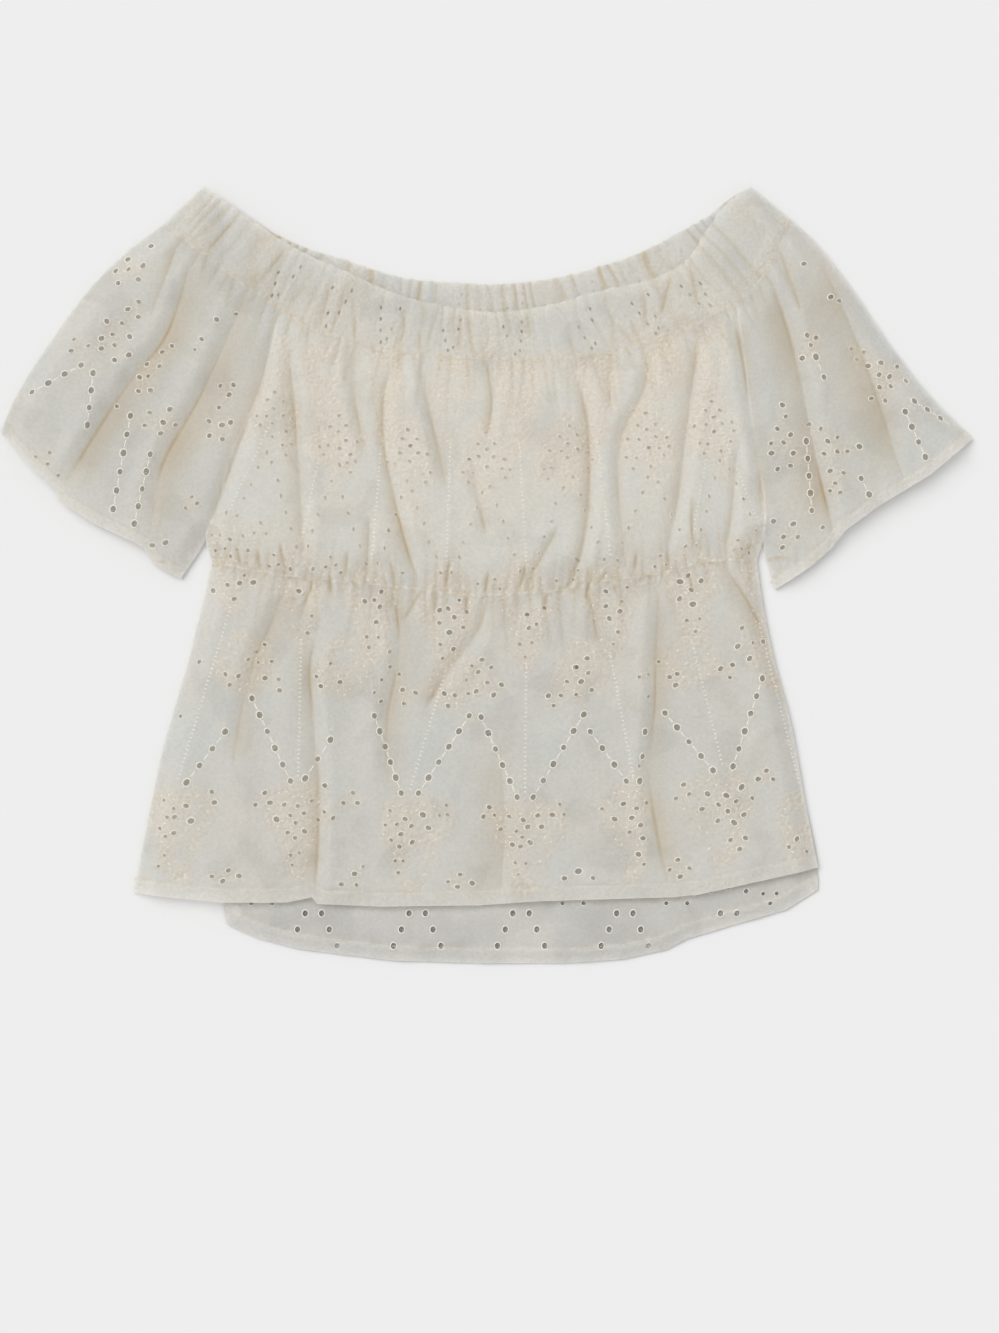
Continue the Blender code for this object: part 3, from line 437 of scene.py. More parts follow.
def pleat_shape(pleats, x, y):
    """Their raised crests, and the painted shade in the troughs between them."""
    raised = np.zeros(np.shape(x))
    trough_shade = np.zeros(np.shape(x))
    for pleat in pleats:
        reach = pleat.length + 8.0
        at = np.flatnonzero((np.abs(x - pleat.x) < reach) & (np.abs(y - pleat.y) < reach))
        px, py = x[at] - pleat.x, y[at] - pleat.y
        along = px * pleat.dx + py * pleat.dy
        across = px * pleat.dy - py * pleat.dx
        bend = 1.5 * np.sin(along / 17.0 + pleat.x)
        near = (along > -2.0) & (along < pleat.length)
        fade = np.clip(1.0 - np.clip(along, 0, None) / pleat.length, 0.0, 1.0) ** 0.8
        raised[at] += near * pleat.rise * fade * bell(across - bend, pleat.width)
        gap = near * fade * bell(across - bend + 1.9 * pleat.width, 1.0)
        trough_shade[at] = np.maximum(trough_shade[at], gap)
    return raised, trough_shade


def waist_puckers(x, y):
    """Short tight ribs on both sides of the waist seam, and the painted shade in the pinches between
    them.
    """
    away = y - seam_y(waist, x)
    phase = x / 7.2 + 0.9 * field(x, y * 0.0, 15.0, 9.0, 51) + 0.25 * field(x, y, 9.0, 8.0, 52)
    wave = 0.5 + 0.5 * np.cos(tau * phase)
    strong = 0.65 + 0.35 * field(x, y * 0.0, 21.0, 9.0, 53)
    pinch = (1 - wave) ** 3 * strong * bell(away, 6.5)
    return 1.3 * wave * strong * bell(away, 8.0), 0.3 * pinch


def puff(x, y):
    above_waist = smoothstep((y - seam_y(waist, x)) / BODICE_PUFF_RANGE)
    in_sleeve = smoothstep((np.abs(x) - 206.0) / 20.0)
    body = PUFF_PEPLUM + (PUFF_BODICE - PUFF_PEPLUM) * above_waist
    height = body + (PUFF_SLEEVE - body) * in_sleeve * above_waist
    pinch = 1 - 0.62 * bell(y - seam_y(waist, x), 15.0)
    neck = 1 - 0.55 * bell(y - seam_y(neck_front_seam, x), 16.0)
    return height * pinch * neck


def beside_route(route, x, y, reach):
    """The places within reach of a crease, with their distance, side and share of it."""
    (x0, y0), (x1, y1) = route.min(axis=0) - reach, route.max(axis=0) + reach
    at = np.flatnonzero((x > x0) & (x < x1) & (y > y0) & (y < y1))
    return (at, *route_distance(route, x[at], y[at]))


def tapered(share, run_out, least):
    return np.clip(np.minimum(share, 1 - share) / run_out, least, 1.0)


def front_shape(x, y):
    """Height of the front cloth's middle, and the painted shade of its creases, pleats, puckers and
    seams.
    """
    kept = np.ones(np.shape(x))
    ridges = np.zeros(np.shape(x))
    crease_shade = np.zeros(np.shape(x))
    unevenness = np.clip(0.5 + 0.75 * field(x, y, 60.0, 30.0, 17), 0.1, 1.0)
    for fold, route in zip(FRONT_FOLDS, FOLD_LINES):
        at, away, side, share = beside_route(route, x, y, 40.0)
        taper = tapered(share, 0.16, 0.12)
        kept[at] *= 1 - 0.34 * fold.share * taper * bell(away, fold.width)
        kept[at] *= 1 - 0.24 * fold.share * taper * bell(away, 2.2)
        crest = bell(away - 1.5 * fold.width, 0.9 * fold.width)
        ridge = 0.7 * fold.ridge * taper * crest * (side == fold.side)
        ridges[at] = np.maximum(ridges[at], ridge)
        uneven = unevenness[at]
        # Painted shade: a thin line in each fold's valley and a band to one side, broad on the side
        # away from the ridge.
        broad = max(0.0, fold.width - 6.0)
        beside = np.where(side == fold.side, 0.3 * bell(away, 1.1 * fold.width),
                          bell(away, 1.1 * fold.width + 4.0 * broad))
        line = 0.6 * uneven * bell(away, 1.1)
        line += (0.24 + 0.1 * broad) * (0.5 + 0.5 * uneven) * beside
        crease_shade[at] = np.maximum(crease_shade[at], fold.share * taper * line)
    for route in WAIST_LINES:
        at, away, _, share = beside_route(route, x, y, 12.0)
        taper = tapered(share, 0.3, 0.1)
        ridges[at] = np.maximum(ridges[at], 0.9 * taper * bell(away - 3.4, 2.4))
        kept[at] *= 1 - 0.25 * taper * bell(away, 1.8)
        # Painted shade along the short waist creases.
        line = 0.42 * bell(away, 1.0) + 0.18 * bell(away, 3.4)
        crease_shade[at] = np.maximum(crease_shade[at], taper * line)
    raised, trough_shade = pleat_shape(PLEATS, x, y)
    pucker, pinch = waist_puckers(x, y)
    lift = smoothstep(side_distance(x, y) / SIDE_RISE)
    low = CLOTH + LAYER_GAP
    crumple = 0.9 * field(x, y, 17.0, 31.0, 3) + 0.45 * field(x, y, 7.0, 11.0, 4)
    rise = FRONT_BASE - low + puff(x, y) * kept + ridges + raised + pucker + crumple
    # Painted shade in the pleat troughs and in the pinches between the waist puckers.
    crease_shade = np.maximum.reduce([crease_shade, 0.4 * trough_shade, pinch])
    # Painted shade in jagged marks along the waist seam and in a faint line along the neck seam.
    tick_shade = np.clip(0.5 + 0.7 * field(x, y, 7.0, 9.0, 19), 0.0, 1.0)
    jag = 1.7 * field(x, y * 0.0, 8.0, 9.0, 20)
    crease_shade = np.maximum(crease_shade, 0.6 * tick_shade * bell(y - seam_y(waist, x) - jag, 1.0))
    crease_shade = np.maximum(crease_shade, 0.3 * tick_shade * bell(y - seam_y(neck_front_seam, x), 1.2))
    return low + CLOTH / 2 + lift * rise, crease_shade


def back_shape(x, y):
    """The same for the back, whose underside lies flat."""
    relief = np.zeros(np.shape(x))
    for folds, y_end in ((BACK_BODICE_FOLDS, 180.0), (BACK_PEPLUM_FOLDS, -280.0)):
        for fold in folds:
            t = (y - seam_y(waist, x)) / y_end
            centre = fold.x_waist + (fold.x_end - fold.x_waist) * t
            relief = np.maximum(relief, bell(x - centre, fold.width) * (t > -0.02)
                                * (1 - 0.5 * np.clip(t, 0, 1)))
    raised, trough_shade = pleat_shape(BACK_PLEATS, x, y)
    inward = smoothstep((side_distance(x, y) - 8.0) / 16.0)
    rise = 0.9 * relief + 0.5 * raised + 0.3 * field(x, y, 12.0, 19.0, 7) + 0.3
    # Painted shade along the middle of the back's folds and in its pleat troughs.
    crease_shade = np.maximum(0.3 * relief * bell(relief - 1.0, 0.3), 0.4 * trough_shade)
    # The strip that shows below the front hem bows up off the floor.
    bow = smoothstep((front_hem_y(x) + 6.0 - y) / 14.0)
    bow *= smoothstep((route_distance(HEM_BACK, x, y)[0] - 2.0) / 9.0)
    return SHEET / 2 + 0.15 + inward * (np.clip(rise, 0.0, 2.2) + 3.2 * bow), crease_shade


def shape_of(panel):
    return front_shape if panel.endswith("front") else back_shape


BACK_PLEATS = [
    *seam_pleats(waist, -200, 198, 9.0, -30.0, 1.0, -0.1, 21),
    *seam_pleats(waist, -200, 198, 9.0, 28.0, 1.0, -0.1, 22),
    *seam_pleats(neck_back_seam, -232, 222, 9.0, -30.0, 1.0, -0.4, 23),
]


def ruche(u, v, seed, ribs=38):
    """Folds of cloth gathered on elastic: uneven, and wandering between its two edges, with the
    painted shade in the gaps between them.
    """
    along = u * 480.0
    wander = 0.35 * field(along, v * 40.0, 12.0, 26.0, seed)
    phase = ribs * u + wander + 1.1 * field(along, v * 0.0, 26.0, 26.0, seed + 1)
    broad = 0.5 + 0.5 * np.cos(tau * phase)
    fine = 0.5 + 0.5 * np.cos(tau * (2.6 * phase + 0.5 * field(along, v * 40, 9.0, 30.0, seed + 2)))
    strong = np.clip(0.55 + 0.6 * field(along, v * 30.0, 15.0, 30.0, seed + 3), 0.1, 1.0)
    return broad * (0.5 + 0.5 * strong) + 0.2 * fine, (1.0 - broad) ** 5 * strong


def casing_front_shape(x, y, u, v):
    low = CLOTH + LAYER_GAP
    lift = smoothstep(side_distance(x, y) / SIDE_RISE)
    rib, gap = ruche(u, v, 31)
    barrel = np.sin(pi * np.clip(v, 0.02, 0.98)) ** 0.6
    soft = 0.5 * field(x, y, 9.0, 14.0, 35)
    height = low + 0.5 + lift * (FRONT_BASE - low + 2.2 + 0.8 * rib + 0.7 * barrel + soft)
    # Painted shade in the gaps of the ruche and along the casing's creases, joining the bodice's
    # painted shade at the seam.
    crease_shade = 0.3 * gap
    for route in CASING_LINES:
        at, away, _, share = beside_route(route, x, y, 12.0)
        taper = tapered(share, 0.25, 0.1)
        uneven = np.clip(0.55 + 0.7 * field(x[at], y[at], 14.0, 18.0, 36), 0.1, 1.0)
        height[at] -= 0.8 * taper * bell(away, 2.2)
        line = 0.5 * uneven * bell(away, 0.9) + 0.16 * bell(away, 3.2)
        crease_shade[at] = np.maximum(crease_shade[at], taper * line)
    bodice, line = front_shape(x, y)
    near = 1 - smoothstep(v / 0.28)
    crease_shade = np.maximum(crease_shade * (0.5 + 0.5 * lift), line * (1 - smoothstep(v / 0.45)))
    return height * (1 - near) + bodice * near, crease_shade


def casing_back_shape(x, y, u, v):
    lift = smoothstep((side_distance(x, y) - 8.0) / SIDE_RISE)
    rib, gap = ruche(u, v, 41)
    # Painted shade in the gaps of the ruche.
    return SHEET / 2 + 0.15 + lift * (0.4 + 1.1 * rib), gap * 0.6


def inside(loop, points):
    """Whether each plan point lies inside a loop."""
    x, y = points[:, 0], points[:, 1]
    hit = np.zeros(len(points), dtype=bool)
    for (ax, ay), (bx, by) in zip(loop, np.roll(loop, -1, axis=0)):
        crosses = (ay > y) != (by > y)
        rise = by - ay if by != ay else 1e-12
        hit ^= crosses & (x < (bx - ax) * (y - ay) / rise + ax)
    return hit


def inset(loop, gap):
    before, after = np.roll(loop, 1, axis=0), np.roll(loop, -1, axis=0)
    arrive, leave = loop - before, after - loop
    arrive /= np.maximum(np.hypot(*arrive.T), 1e-9)[:, None]
    leave /= np.maximum(np.hypot(*leave.T), 1e-9)[:, None]
    normal = np.column_stack([-(arrive + leave)[:, 1], (arrive + leave)[:, 0]])
    normal /= np.maximum(np.hypot(*normal.T), 1e-6)[:, None]
    return loop + normal * gap


def oval(x, y, turn, long, short, sides):
    rim = []
    for k in range(sides):
        a = tau * k / sides
        p, q = long / 2 * cos(a), short / 2 * sin(a)
        rim.append((x + p * cos(turn) - q * sin(turn), y + p * sin(turn) + q * cos(turn)))
    return rim


def flat_mesh(outline, grid, holes, sides=12):
    """A plan meshed round its holes: its points and its counter-clockwise triangles."""
    points = [tuple(p) for p in outline]
    edges = [(k, (k + 1) % len(points)) for k in range(len(points))]
    rim_of = {}
    for number, (x, y, turn, long, short) in enumerate(holes):
        first = len(points)
        points += oval(x, y, turn, long, short, sides)
        rim = range(first, first + sides)
        edges += [(k, first + (k + 1 - first) % sides) for k in rim]
        rim_of.update({k: number for k in rim})
    points += [tuple(p) for p in grid]
    flat, _, faces, origins, _, _ = delaunay_2d_cdt(
        [Vector(p) for p in points], edges, [], 1, 1e-5)
    source = [ids[0] if ids else -1 for ids in origins]
    kept = []
    for face in faces:
        rims = {rim_of.get(source[k], -1) for k in face}
        if len(rims) == 1 and rims != {-1}:
            continue
        kept.append(tuple(face))
    return np.array([tuple(p) for p in flat]), kept


def route_points(routes):
    """Close rows of points on both sides of each crease, so that its line stays sharp."""
    rows = []
    for route in routes:
        points = Curve(route).every(1.7)
        run = np.gradient(points, axis=0)
        run /= np.hypot(*run.T)[:, None]
        side = np.column_stack([-run[:, 1], run[:, 0]])
        rows += [points + side * offset for offset in (-2.1, -0.9, 0.0, 0.9, 2.1)]
    return np.vstack(rows)


def hex_grid(outline, step, holes, clear, routes=()):
    """Evenly scattered points inside an outline, clear of its rim and of its holes."""
    (x0, y0), (x1, y1) = outline.min(axis=0), outline.max(axis=0)
    rows = []
    for k, y in enumerate(np.arange(y0, y1, step * 0.87)):
        x = np.arange(x0 + (k % 2) * step / 2, x1, step)
        rows.append(np.column_stack([x, np.full(len(x), y)]))
    grid = np.vstack(rows)
    for route in routes:
        at, away, _, _ = beside_route(smooth_route(route), grid[:, 0], grid[:, 1], 4.0)
        grid = np.delete(grid, at[away < 2.9], axis=0)
    if routes:
        grid = np.vstack([grid, route_points(routes)])
    grid = grid[inside(outline, grid)]
    closed = np.vstack([outline, outline[:1]])
    for (ax, ay), (bx, by) in zip(closed, closed[1:]):
        near = (grid[:, 0] > min(ax, bx) - step) & (grid[:, 0] < max(ax, bx) + step)
        near &= (grid[:, 1] > min(ay, by) - step) & (grid[:, 1] < max(ay, by) + step)
        close = np.flatnonzero(near)
        away = route_distance([(ax, ay), (bx, by + 1e-9)], grid[close, 0], grid[close, 1])[0]
        grid = np.delete(grid, close[away < step * 0.55], axis=0)
    for x, y, turn, long, short in holes:
        grid = grid[np.hypot(grid[:, 0] - x, grid[:, 1] - y) > long / 2 + clear]
    return grid


# Sizes of the patterns in mm. Slubs, threads and strands are finer than this in real voile
# and cotton, and are drawn as coarse as they need to show.
PATCH = 71.43
UNDERLAYER_SHADE = 33.33
CRINKLE = 4.762
SEED = 3.03
SLUB = 2.381
STRAND = 1.111
WARP = 0.561
PAPER = 3.333


def linear(code):
    """A colour from its sRGB hex code."""
    parts = [int(code[k:k + 2], 16) / 255 for k in (1, 3, 5)]
    return (*(c / 12.92 if c <= 0.04045 else ((c + 0.055) / 1.055) ** 2.4 for c in parts), 1.0)


def add(tree, kind, inputs=None, out=0, **settings):
    """Adds a node, its inputs being values or sockets, and gives one of its outputs."""
    node = tree.nodes.new("ShaderNode" + kind)
    for name, value in settings.items():
        setattr(node, name, value)
    for name, value in (inputs or {}).items():
        if isinstance(value, bpy.types.NodeSocket):
            tree.links.new(value, node.inputs[name])
        else:
            node.inputs[name].default_value = value
    return node.outputs[out] if node.outputs else None


def pattern(size):
    """The scale of a pattern from its size in millimetres."""
    return 1.0 / (size * MM)


def bare_material(name):
    material = bpy.data.materials.new(name)
    material.use_nodes = True
    tree = material.node_tree
    tree.nodes.clear()
    return material, tree, add(tree, "TexCoord", out="Object")


def voile(name, light, warm, shadow, sheer):
    """Crisp cotton voile: matt, a little see-through, with slubs and a fine crinkle.

    Its greyish white turns cream in random patches and in a warm tint near the embroidery that
    also carries painted light. Painted light brightens it where the layers lie doubled, painted
    shade from the layers behind darkens it in soft patches, and painted shade turns it golden brown
    in the creases, under a faint dry sheen.
    """
    material, tree, place = bare_material(name)
    # The attributes carry painted shade in the creases, painted light where the layers lie doubled,
    # and a warm tint near the embroidery together with painted light.
    crease_shade = add(tree, "Attribute", out="Fac", attribute_name="crease_shade")
    double_layer_light = add(tree, "Attribute", out="Fac", attribute_name="double_layer_light")
    worked_and_lit = add(tree, "Attribute", out="Fac", attribute_name="worked_and_lit")
    patches = add(tree, "TexNoise", {"Vector": place, "Scale": pattern(PATCH), "Detail": 3.0})
    spread = add(tree, "MapRange", {"Value": patches, "From Min": 0.35, "From Max": 0.68})
    worked_and_lit = add(tree, "Math", {0: worked_and_lit, 1: 0.85}, operation="MULTIPLY")
    tint = add(tree, "Math", {0: spread, 1: 0.5}, operation="MULTIPLY")
    tint = add(tree, "Math", {0: tint, 1: worked_and_lit}, operation="MAXIMUM")
    base = add(tree, "Mix", {0: tint, 6: linear(light), 7: linear(warm)}, 2, data_type="RGBA")
    slub = add(tree, "TexNoise", {"Vector": place, "Scale": pattern(SLUB), "Detail": 2.0})
    slubbed = add(tree, "MapRange", {
        "Value": slub, "From Min": 0.3, "From Max": 0.7, "To Min": 0.95, "To Max": 1.03})
    # Painted shade of the layers behind in soft patches, lifted by painted light where the layers
    # lie doubled.
    behind = add(tree, "TexNoise", {
        "Vector": place, "Scale": pattern(UNDERLAYER_SHADE), "Detail": 1.0, "Distortion": 0.4})
    layers = add(tree, "MapRange", {
        "Value": behind, "From Min": 0.56, "From Max": 0.64, "To Min": 1.0, "To Max": 0.945})
    layers = add(tree, "Math", {0: double_layer_light, 1: 0.09, 2: layers}, operation="MULTIPLY_ADD")
    shade = add(tree, "Math", {0: slubbed, 1: layers}, operation="MULTIPLY")
    base = add(tree, "VectorMath", {0: base, "Scale": shade}, operation="SCALE")
    # Painted shade in the creases, in the shadow colour.
    colour = add(tree, "Mix", {0: crease_shade, 6: base, 7: linear(shadow)}, 2, data_type="RGBA")
    wide = add(tree, "TexNoise", {
        "Vector": place, "Scale": pattern(CRINKLE), "Detail": 4.0, "Distortion": 0.6})
    # A wave's bands repeat every tau / 20 of its scale.
    warp = add(tree, "TexWave", {
        "Vector": place, "Scale": pattern(WARP) * tau / 20, "Distortion": 1.2, "Detail": 1.0}, "Fac")
    crinkle = add(tree, "Bump", {"Height": wide, "Strength": 0.35, "Distance": 0.0011})
    pebble = add(tree, "TexVoronoi", {"Vector": place, "Scale": pattern(SEED)})
    crinkle = add(tree, "Bump", {
        "Height": pebble, "Strength": worked_and_lit, "Distance": 0.0010, "Normal": crinkle}, invert=True)
    weave = add(tree, "Bump", {
        "Height": warp, "Strength": 0.25, "Distance": 0.0002, "Normal": crinkle})
    cloth = add(tree, "BsdfPrincipled", {
        "Base Color": colour, "Roughness": 0.88, "Specular IOR Level": 0.25,
        "Sheen Weight": 0.18, "Sheen Roughness": 0.5, "Normal": weave})
    # Light that is already inside the sheet leaves it freely, so its two faces count once.
    inner = add(tree, "NewGeometry", out="Backfacing")
    passed = add(tree, "Mix", {0: inner, 6: colour, 7: (0.98, 0.98, 0.98, 1.0)}, 2,
                 data_type="RGBA")
    through = add(tree, "BsdfTranslucent", {"Color": passed, "Normal": weave})
    share = add(tree, "Math", {0: inner, 1: sheer}, operation="MAXIMUM")
    mixed = add(tree, "MixShader", {0: share, 1: cloth, 2: through})
    add(tree, "OutputMaterial", {"Surface": mixed})
    return material


def thread(name, code):
    """Embroidery cotton: cream, smoother than the cloth, with a soft satin gleam."""
    material, tree, place = bare_material(name)
    strands = add(tree, "TexNoise", {"Vector": place, "Scale": pattern(STRAND), "Detail": 2.0})
    relief = add(tree, "Bump", {"Height": strands, "Strength": 0.4, "Distance": 0.0003})
    shader = add(tree, "BsdfPrincipled", {
        "Base Color": linear(code), "Roughness": 0.6, "Sheen Weight": 0.25, "Normal": relief})
    add(tree, "OutputMaterial", {"Surface": shader})
    return material


FRONT_CLOTH = voile("cotton_voile_front", "#E8E9E6", "#F0E9DE", "#D0B98F", 0.58)
CASING_CLOTH = voile("cotton_voile_doubled", "#E5E6E3", "#EEE8DD", "#D1BB90", 0.52)
# The back is the same voile in painted shade: grey where it shows below the front hem, a lighter
# warm grey under the front.
SHADED_BACK_CLOTH = voile("cotton_voile_back_painted_shade", "#BFBEB9", "#E2DED6", "#C2B496", 0.2)
THREAD = thread("embroidery_cotton", "#DFD9CD")
STITCH = thread("sewing_cotton", "#DAD2C3")


def new_object(name, points, triangles, material, attributes):
    mesh = bpy.data.meshes.new(name)
    mesh.from_pydata((points * MM).tolist(), [], triangles)
    mesh.polygons.foreach_set("use_smooth", [True] * len(mesh.polygons))
    for key, values in attributes.items():
        data = mesh.attributes.new(key, "FLOAT", "POINT")
        data.data.foreach_set("value", np.asarray(values, dtype=np.float32))
    mesh.materials.append(material)
    obj = bpy.data.objects.new(name, mesh)
    bpy.context.scene.collection.objects.link(obj)
    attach(obj, "root")
    return obj


def thicken(obj, depth):
    """Gives a sheet its thickness, with crisp rims round it and round its holes."""
    mesh = obj.data
    uses = np.zeros(len(mesh.edges), dtype=int)
    loops = np.zeros(len(mesh.loops), dtype=np.int32)
    mesh.loops.foreach_get("edge_index", loops)
    np.add.at(uses, loops, 1)
    sharp = mesh.attributes.new("sharp_edge", "BOOLEAN", "EDGE")
    sharp.data.foreach_set("value", uses == 1)
    wall = obj.modifiers.new("wall", "SOLIDIFY")
    wall.thickness = depth * MM
    wall.offset = 0.0


def hem_share(hem, x, y, depth):
    """1 in the turned hem and 0 above it, with the distance to its upper edge."""
    away = route_distance(hem, x, y)[0]
    return smoothstep((depth - away) / 0.8), np.abs(away - depth)


def worked_share(x, y, spots, reach):
    """1 beside the embroidery and 0 in the plain cloth between the motifs."""
    tree = KDTree(max(1, len(spots)))
    for number, spot in enumerate(spots):
        tree.insert((spot[0], spot[1], 0.0), number)
    tree.balance()
    if not spots:
        return np.zeros(len(x))
    away = [np.mean([d for _, _, d in tree.find_n((px, py, 0.0), 3)]) for px, py in zip(x, y)]
    return smoothstep((reach - np.array(away)) / (0.75 * reach))


def cloth_piece(name, outline, step, holes, shape, material, spots, hem=None, depth=11.0):
    """One panel of the cloth, meshed fine, raised and thickened, with painted shade in its creases
    and seams, painted light where its layers lie doubled and a warm tint near the embroidery that
    also carries painted light.
    """
    routes = [fold.route for fold in FRONT_FOLDS] + WAIST_CREASES if shape is front_shape else ()
    grid = hex_grid(outline, step, holes, 0.3 * step, routes)
    flat, triangles = flat_mesh(inset(outline, EDGE_GAP), grid, holes)
    x, y = flat[:, 0], flat[:, 1]
    height, crease_shade = shape(x, y)
    double_layer_light = np.zeros(len(x))
    if hem is not None:
        double_layer_light, edge = hem_share(hem, x, y, depth)
        height = height + 0.35 * double_layer_light - 0.3 * bell(edge, 0.9)
        # Painted shade along the upper edge of the turned hem.
        crease_shade = np.maximum(crease_shade * (1 - 0.3 * double_layer_light), 0.16 * bell(edge, 0.9))
    # A warm tint near the embroidery, and painted light in the turned hem.
    worked_and_lit = np.maximum(worked_share(x, y, spots, 13.0), 0.45 * double_layer_light)
    double_layer_light = 0.35 * double_layer_light
    if "back" in name:
        # The back gets painted light where it lies under the front and painted shade in the strip
        # that shows below the front hem, but for its turned hem.
        shaded_strip = smoothstep((front_hem_y(x) + 6.0 - y) / 8.0)
        behind = 0.45 + 0.35 * field(x, y, 19.0, 23.0, 81) + 0.25 * worked_and_lit
        turned_up = double_layer_light / 0.35
        worked_and_lit = np.clip(behind * (1.0 - shaded_strip) + shaded_strip * (0.4 * worked_and_lit + 0.12 * turned_up), 0, 1)
        double_layer_light = double_layer_light * (1.0 - shaded_strip) + shaded_strip * (1.2 * turned_up - 0.3)
    if "bodice_back" in name:
        # Painted light: the back bodice is warmer above the waist and lighter all over.
        worked_and_lit = np.maximum(worked_and_lit, smoothstep((y - seam_y(waist, x)) / 30.0))
        double_layer_light = np.full(len(x), 0.8)
    if "bodice_front" in name:
        # A warm tint near the embroidery and in random patches, and painted light all over the front
        # bodice.
        worked_and_lit = np.clip(0.1 + 0.8 * worked_and_lit + 0.4 * field(x, y, 23.0, 41.0, 63), 0, 1)
        double_layer_light = np.full(len(x), 0.8)
    if "peplum_front" in name:
        from_waist = seam_y(waist, x) - y
        # Painted light over the front peplum, strongest near the waist, and a painted warm light
        # along the waist gathers.
        double_layer_light = np.maximum(double_layer_light, 0.55 + 0.25 * (1 - smoothstep(from_waist / 75.0)))
        worked_and_lit = np.maximum(worked_and_lit, 0.45 * bell(from_waist, 26.0))
    if "sleeve" in name:
        # Painted light over the sleeves.
        double_layer_light = np.maximum(double_layer_light, 0.45)
    obj = new_object(name, np.column_stack([x, y, height]), triangles, material,
                     {"crease_shade": np.clip(crease_shade, 0, 1), "double_layer_light": double_layer_light, "worked_and_lit": worked_and_lit})
    thicken(obj, SHEET)
    return obj


def casing_piece(name, seam, top, shape, material, holes, step=1.3):
    """A neck casing, meshed flat and then bent to follow the neck, its ribs across it."""
    length, depth = seam.length, 37.0
    outline = np.vstack([
        np.column_stack([np.linspace(0, length, 340)[:-1], np.zeros(339)]),
        np.column_stack([np.full(20, length), np.linspace(0, depth, 21)[:-1]]),
        np.column_stack([np.linspace(length, 0, 340)[:-1], np.full(339, depth)]),
        np.column_stack([np.zeros(20), np.linspace(depth, 0, 21)[:-1]])])
    flat, triangles = flat_mesh(outline, hex_grid(outline, step, holes, 0.4), holes, 8)
    u, v = flat[:, 0] / length, flat[:, 1] / depth
    low, high = seam(u), top(u)
    plan = low * (1 - v[:, None]) + high * v[:, None]
    across = high - low
    across /= np.hypot(across[:, 0], across[:, 1])[:, None]
    rib = ruche(u, v, 31)[0]
    plan = plan + across * (smoothstep((v - 0.8) / 0.2) * (rib - 0.7) * 1.0)[:, None]
    height, crease_shade = shape(plan[:, 0], plan[:, 1], u, v)
    # A random warm tint, warmer towards the seam.
    worked_and_lit = 0.35 + 0.45 * field(plan[:, 0], plan[:, 1], 24.0, 30.0, 61)
    worked_and_lit = worked_and_lit + 0.3 * (1 - smoothstep(v / 0.4))
    # Painted light on the front casing, painted shade on the back casing that shows inside the neck.
    double_layer_light = np.full(len(u), 0.3 if "front" in name else -0.2)
    obj = new_object(name, np.column_stack([plan, height]), triangles, material,
                     {"crease_shade": np.clip(crease_shade, 0, 1), "double_layer_light": double_layer_light,
                      "worked_and_lit": np.clip(worked_and_lit, 0, 1)})
    thicken(obj, SHEET)
    return obj


def armhole(points, seam, x_top):
    return [*points, (x_top, float(seam_y(seam, x_top)))]


def ring_of(bottom, right, top, left, step):
    """A closed outline from four edges: bottom and top run right, the sides run up."""
    edges = [bottom.every(step)[:-1], right.every(step)[:-1],
             top.every(step)[::-1][:-1], left.every(step)[::-1][:-1]]
    return np.vstack(edges)


def bodice_outline(seam, tops, step):
    left = Curve(joined([WAIST_LEFT], armhole(ARMHOLE_LEFT, seam, tops[0])))
    right = Curve(joined([WAIST_RIGHT], armhole(ARMHOLE_RIGHT, seam, tops[1])))
    return ring_of(waist, right, seam.between(*tops), left, step)


def peplum_outline(hem, left, right, step):
    return ring_of(Curve(hem, smooth=False), Curve(right), waist, Curve(left), step)


def sleeve_left_outline(seam, tops, step):
    top = seam.between(seam.xy[0, 0], tops[0])
    inner = Curve(joined([SLEEVE_LEFT_HEM[-1]], armhole(ARMHOLE_LEFT, seam, tops[0])))
    fold = Curve(SLEEVE_LEFT_FOLD)
    return ring_of(Curve(SLEEVE_LEFT_HEM, smooth=False), inner, top, fold, step)


def sleeve_right_outline(seam, tops, step):
    top = seam.between(tops[1], seam.xy[-1, 0])
    inner = Curve(joined([SLEEVE_RIGHT_HEM[0]], armhole(ARMHOLE_RIGHT, seam, tops[1])))
    fold = Curve(SLEEVE_RIGHT_FOLD)
    return ring_of(Curve(SLEEVE_RIGHT_HEM, smooth=False), fold, top, inner, step)


def turned(x, y, lean):
    a = radians(lean)
    return x * cos(a) + y * sin(a), -x * sin(a) + y * cos(a)


def motif_points(motif, points, up=1):
    """Both mirrored halves of a list of local points, on the cloth."""
    out = []
    for x, y, *rest in points:
        for side in ((-1, 1) if x else (1,)):
            reach = motif.left if side < 0 else motif.right
            lean = motif.lean if y > 0 else 0.0
            px, py = turned(side * x * reach / 37.0, y, lean)
            out.append((motif.x + px, motif.y + up * py, *rest))
    return out


def fan_motif(west, east):
    return Motif((west.x + east.x) / 2, (west.y + east.y) / 2, 30, 30,
                 (west.lean + east.lean) / 2, "F")


def eyelets(motif, points, turn=0.0, narrow=1.0, up=1):
    return [(x, y, turn, s, narrow * s) for x, y, s in motif_points(motif, points, up)]


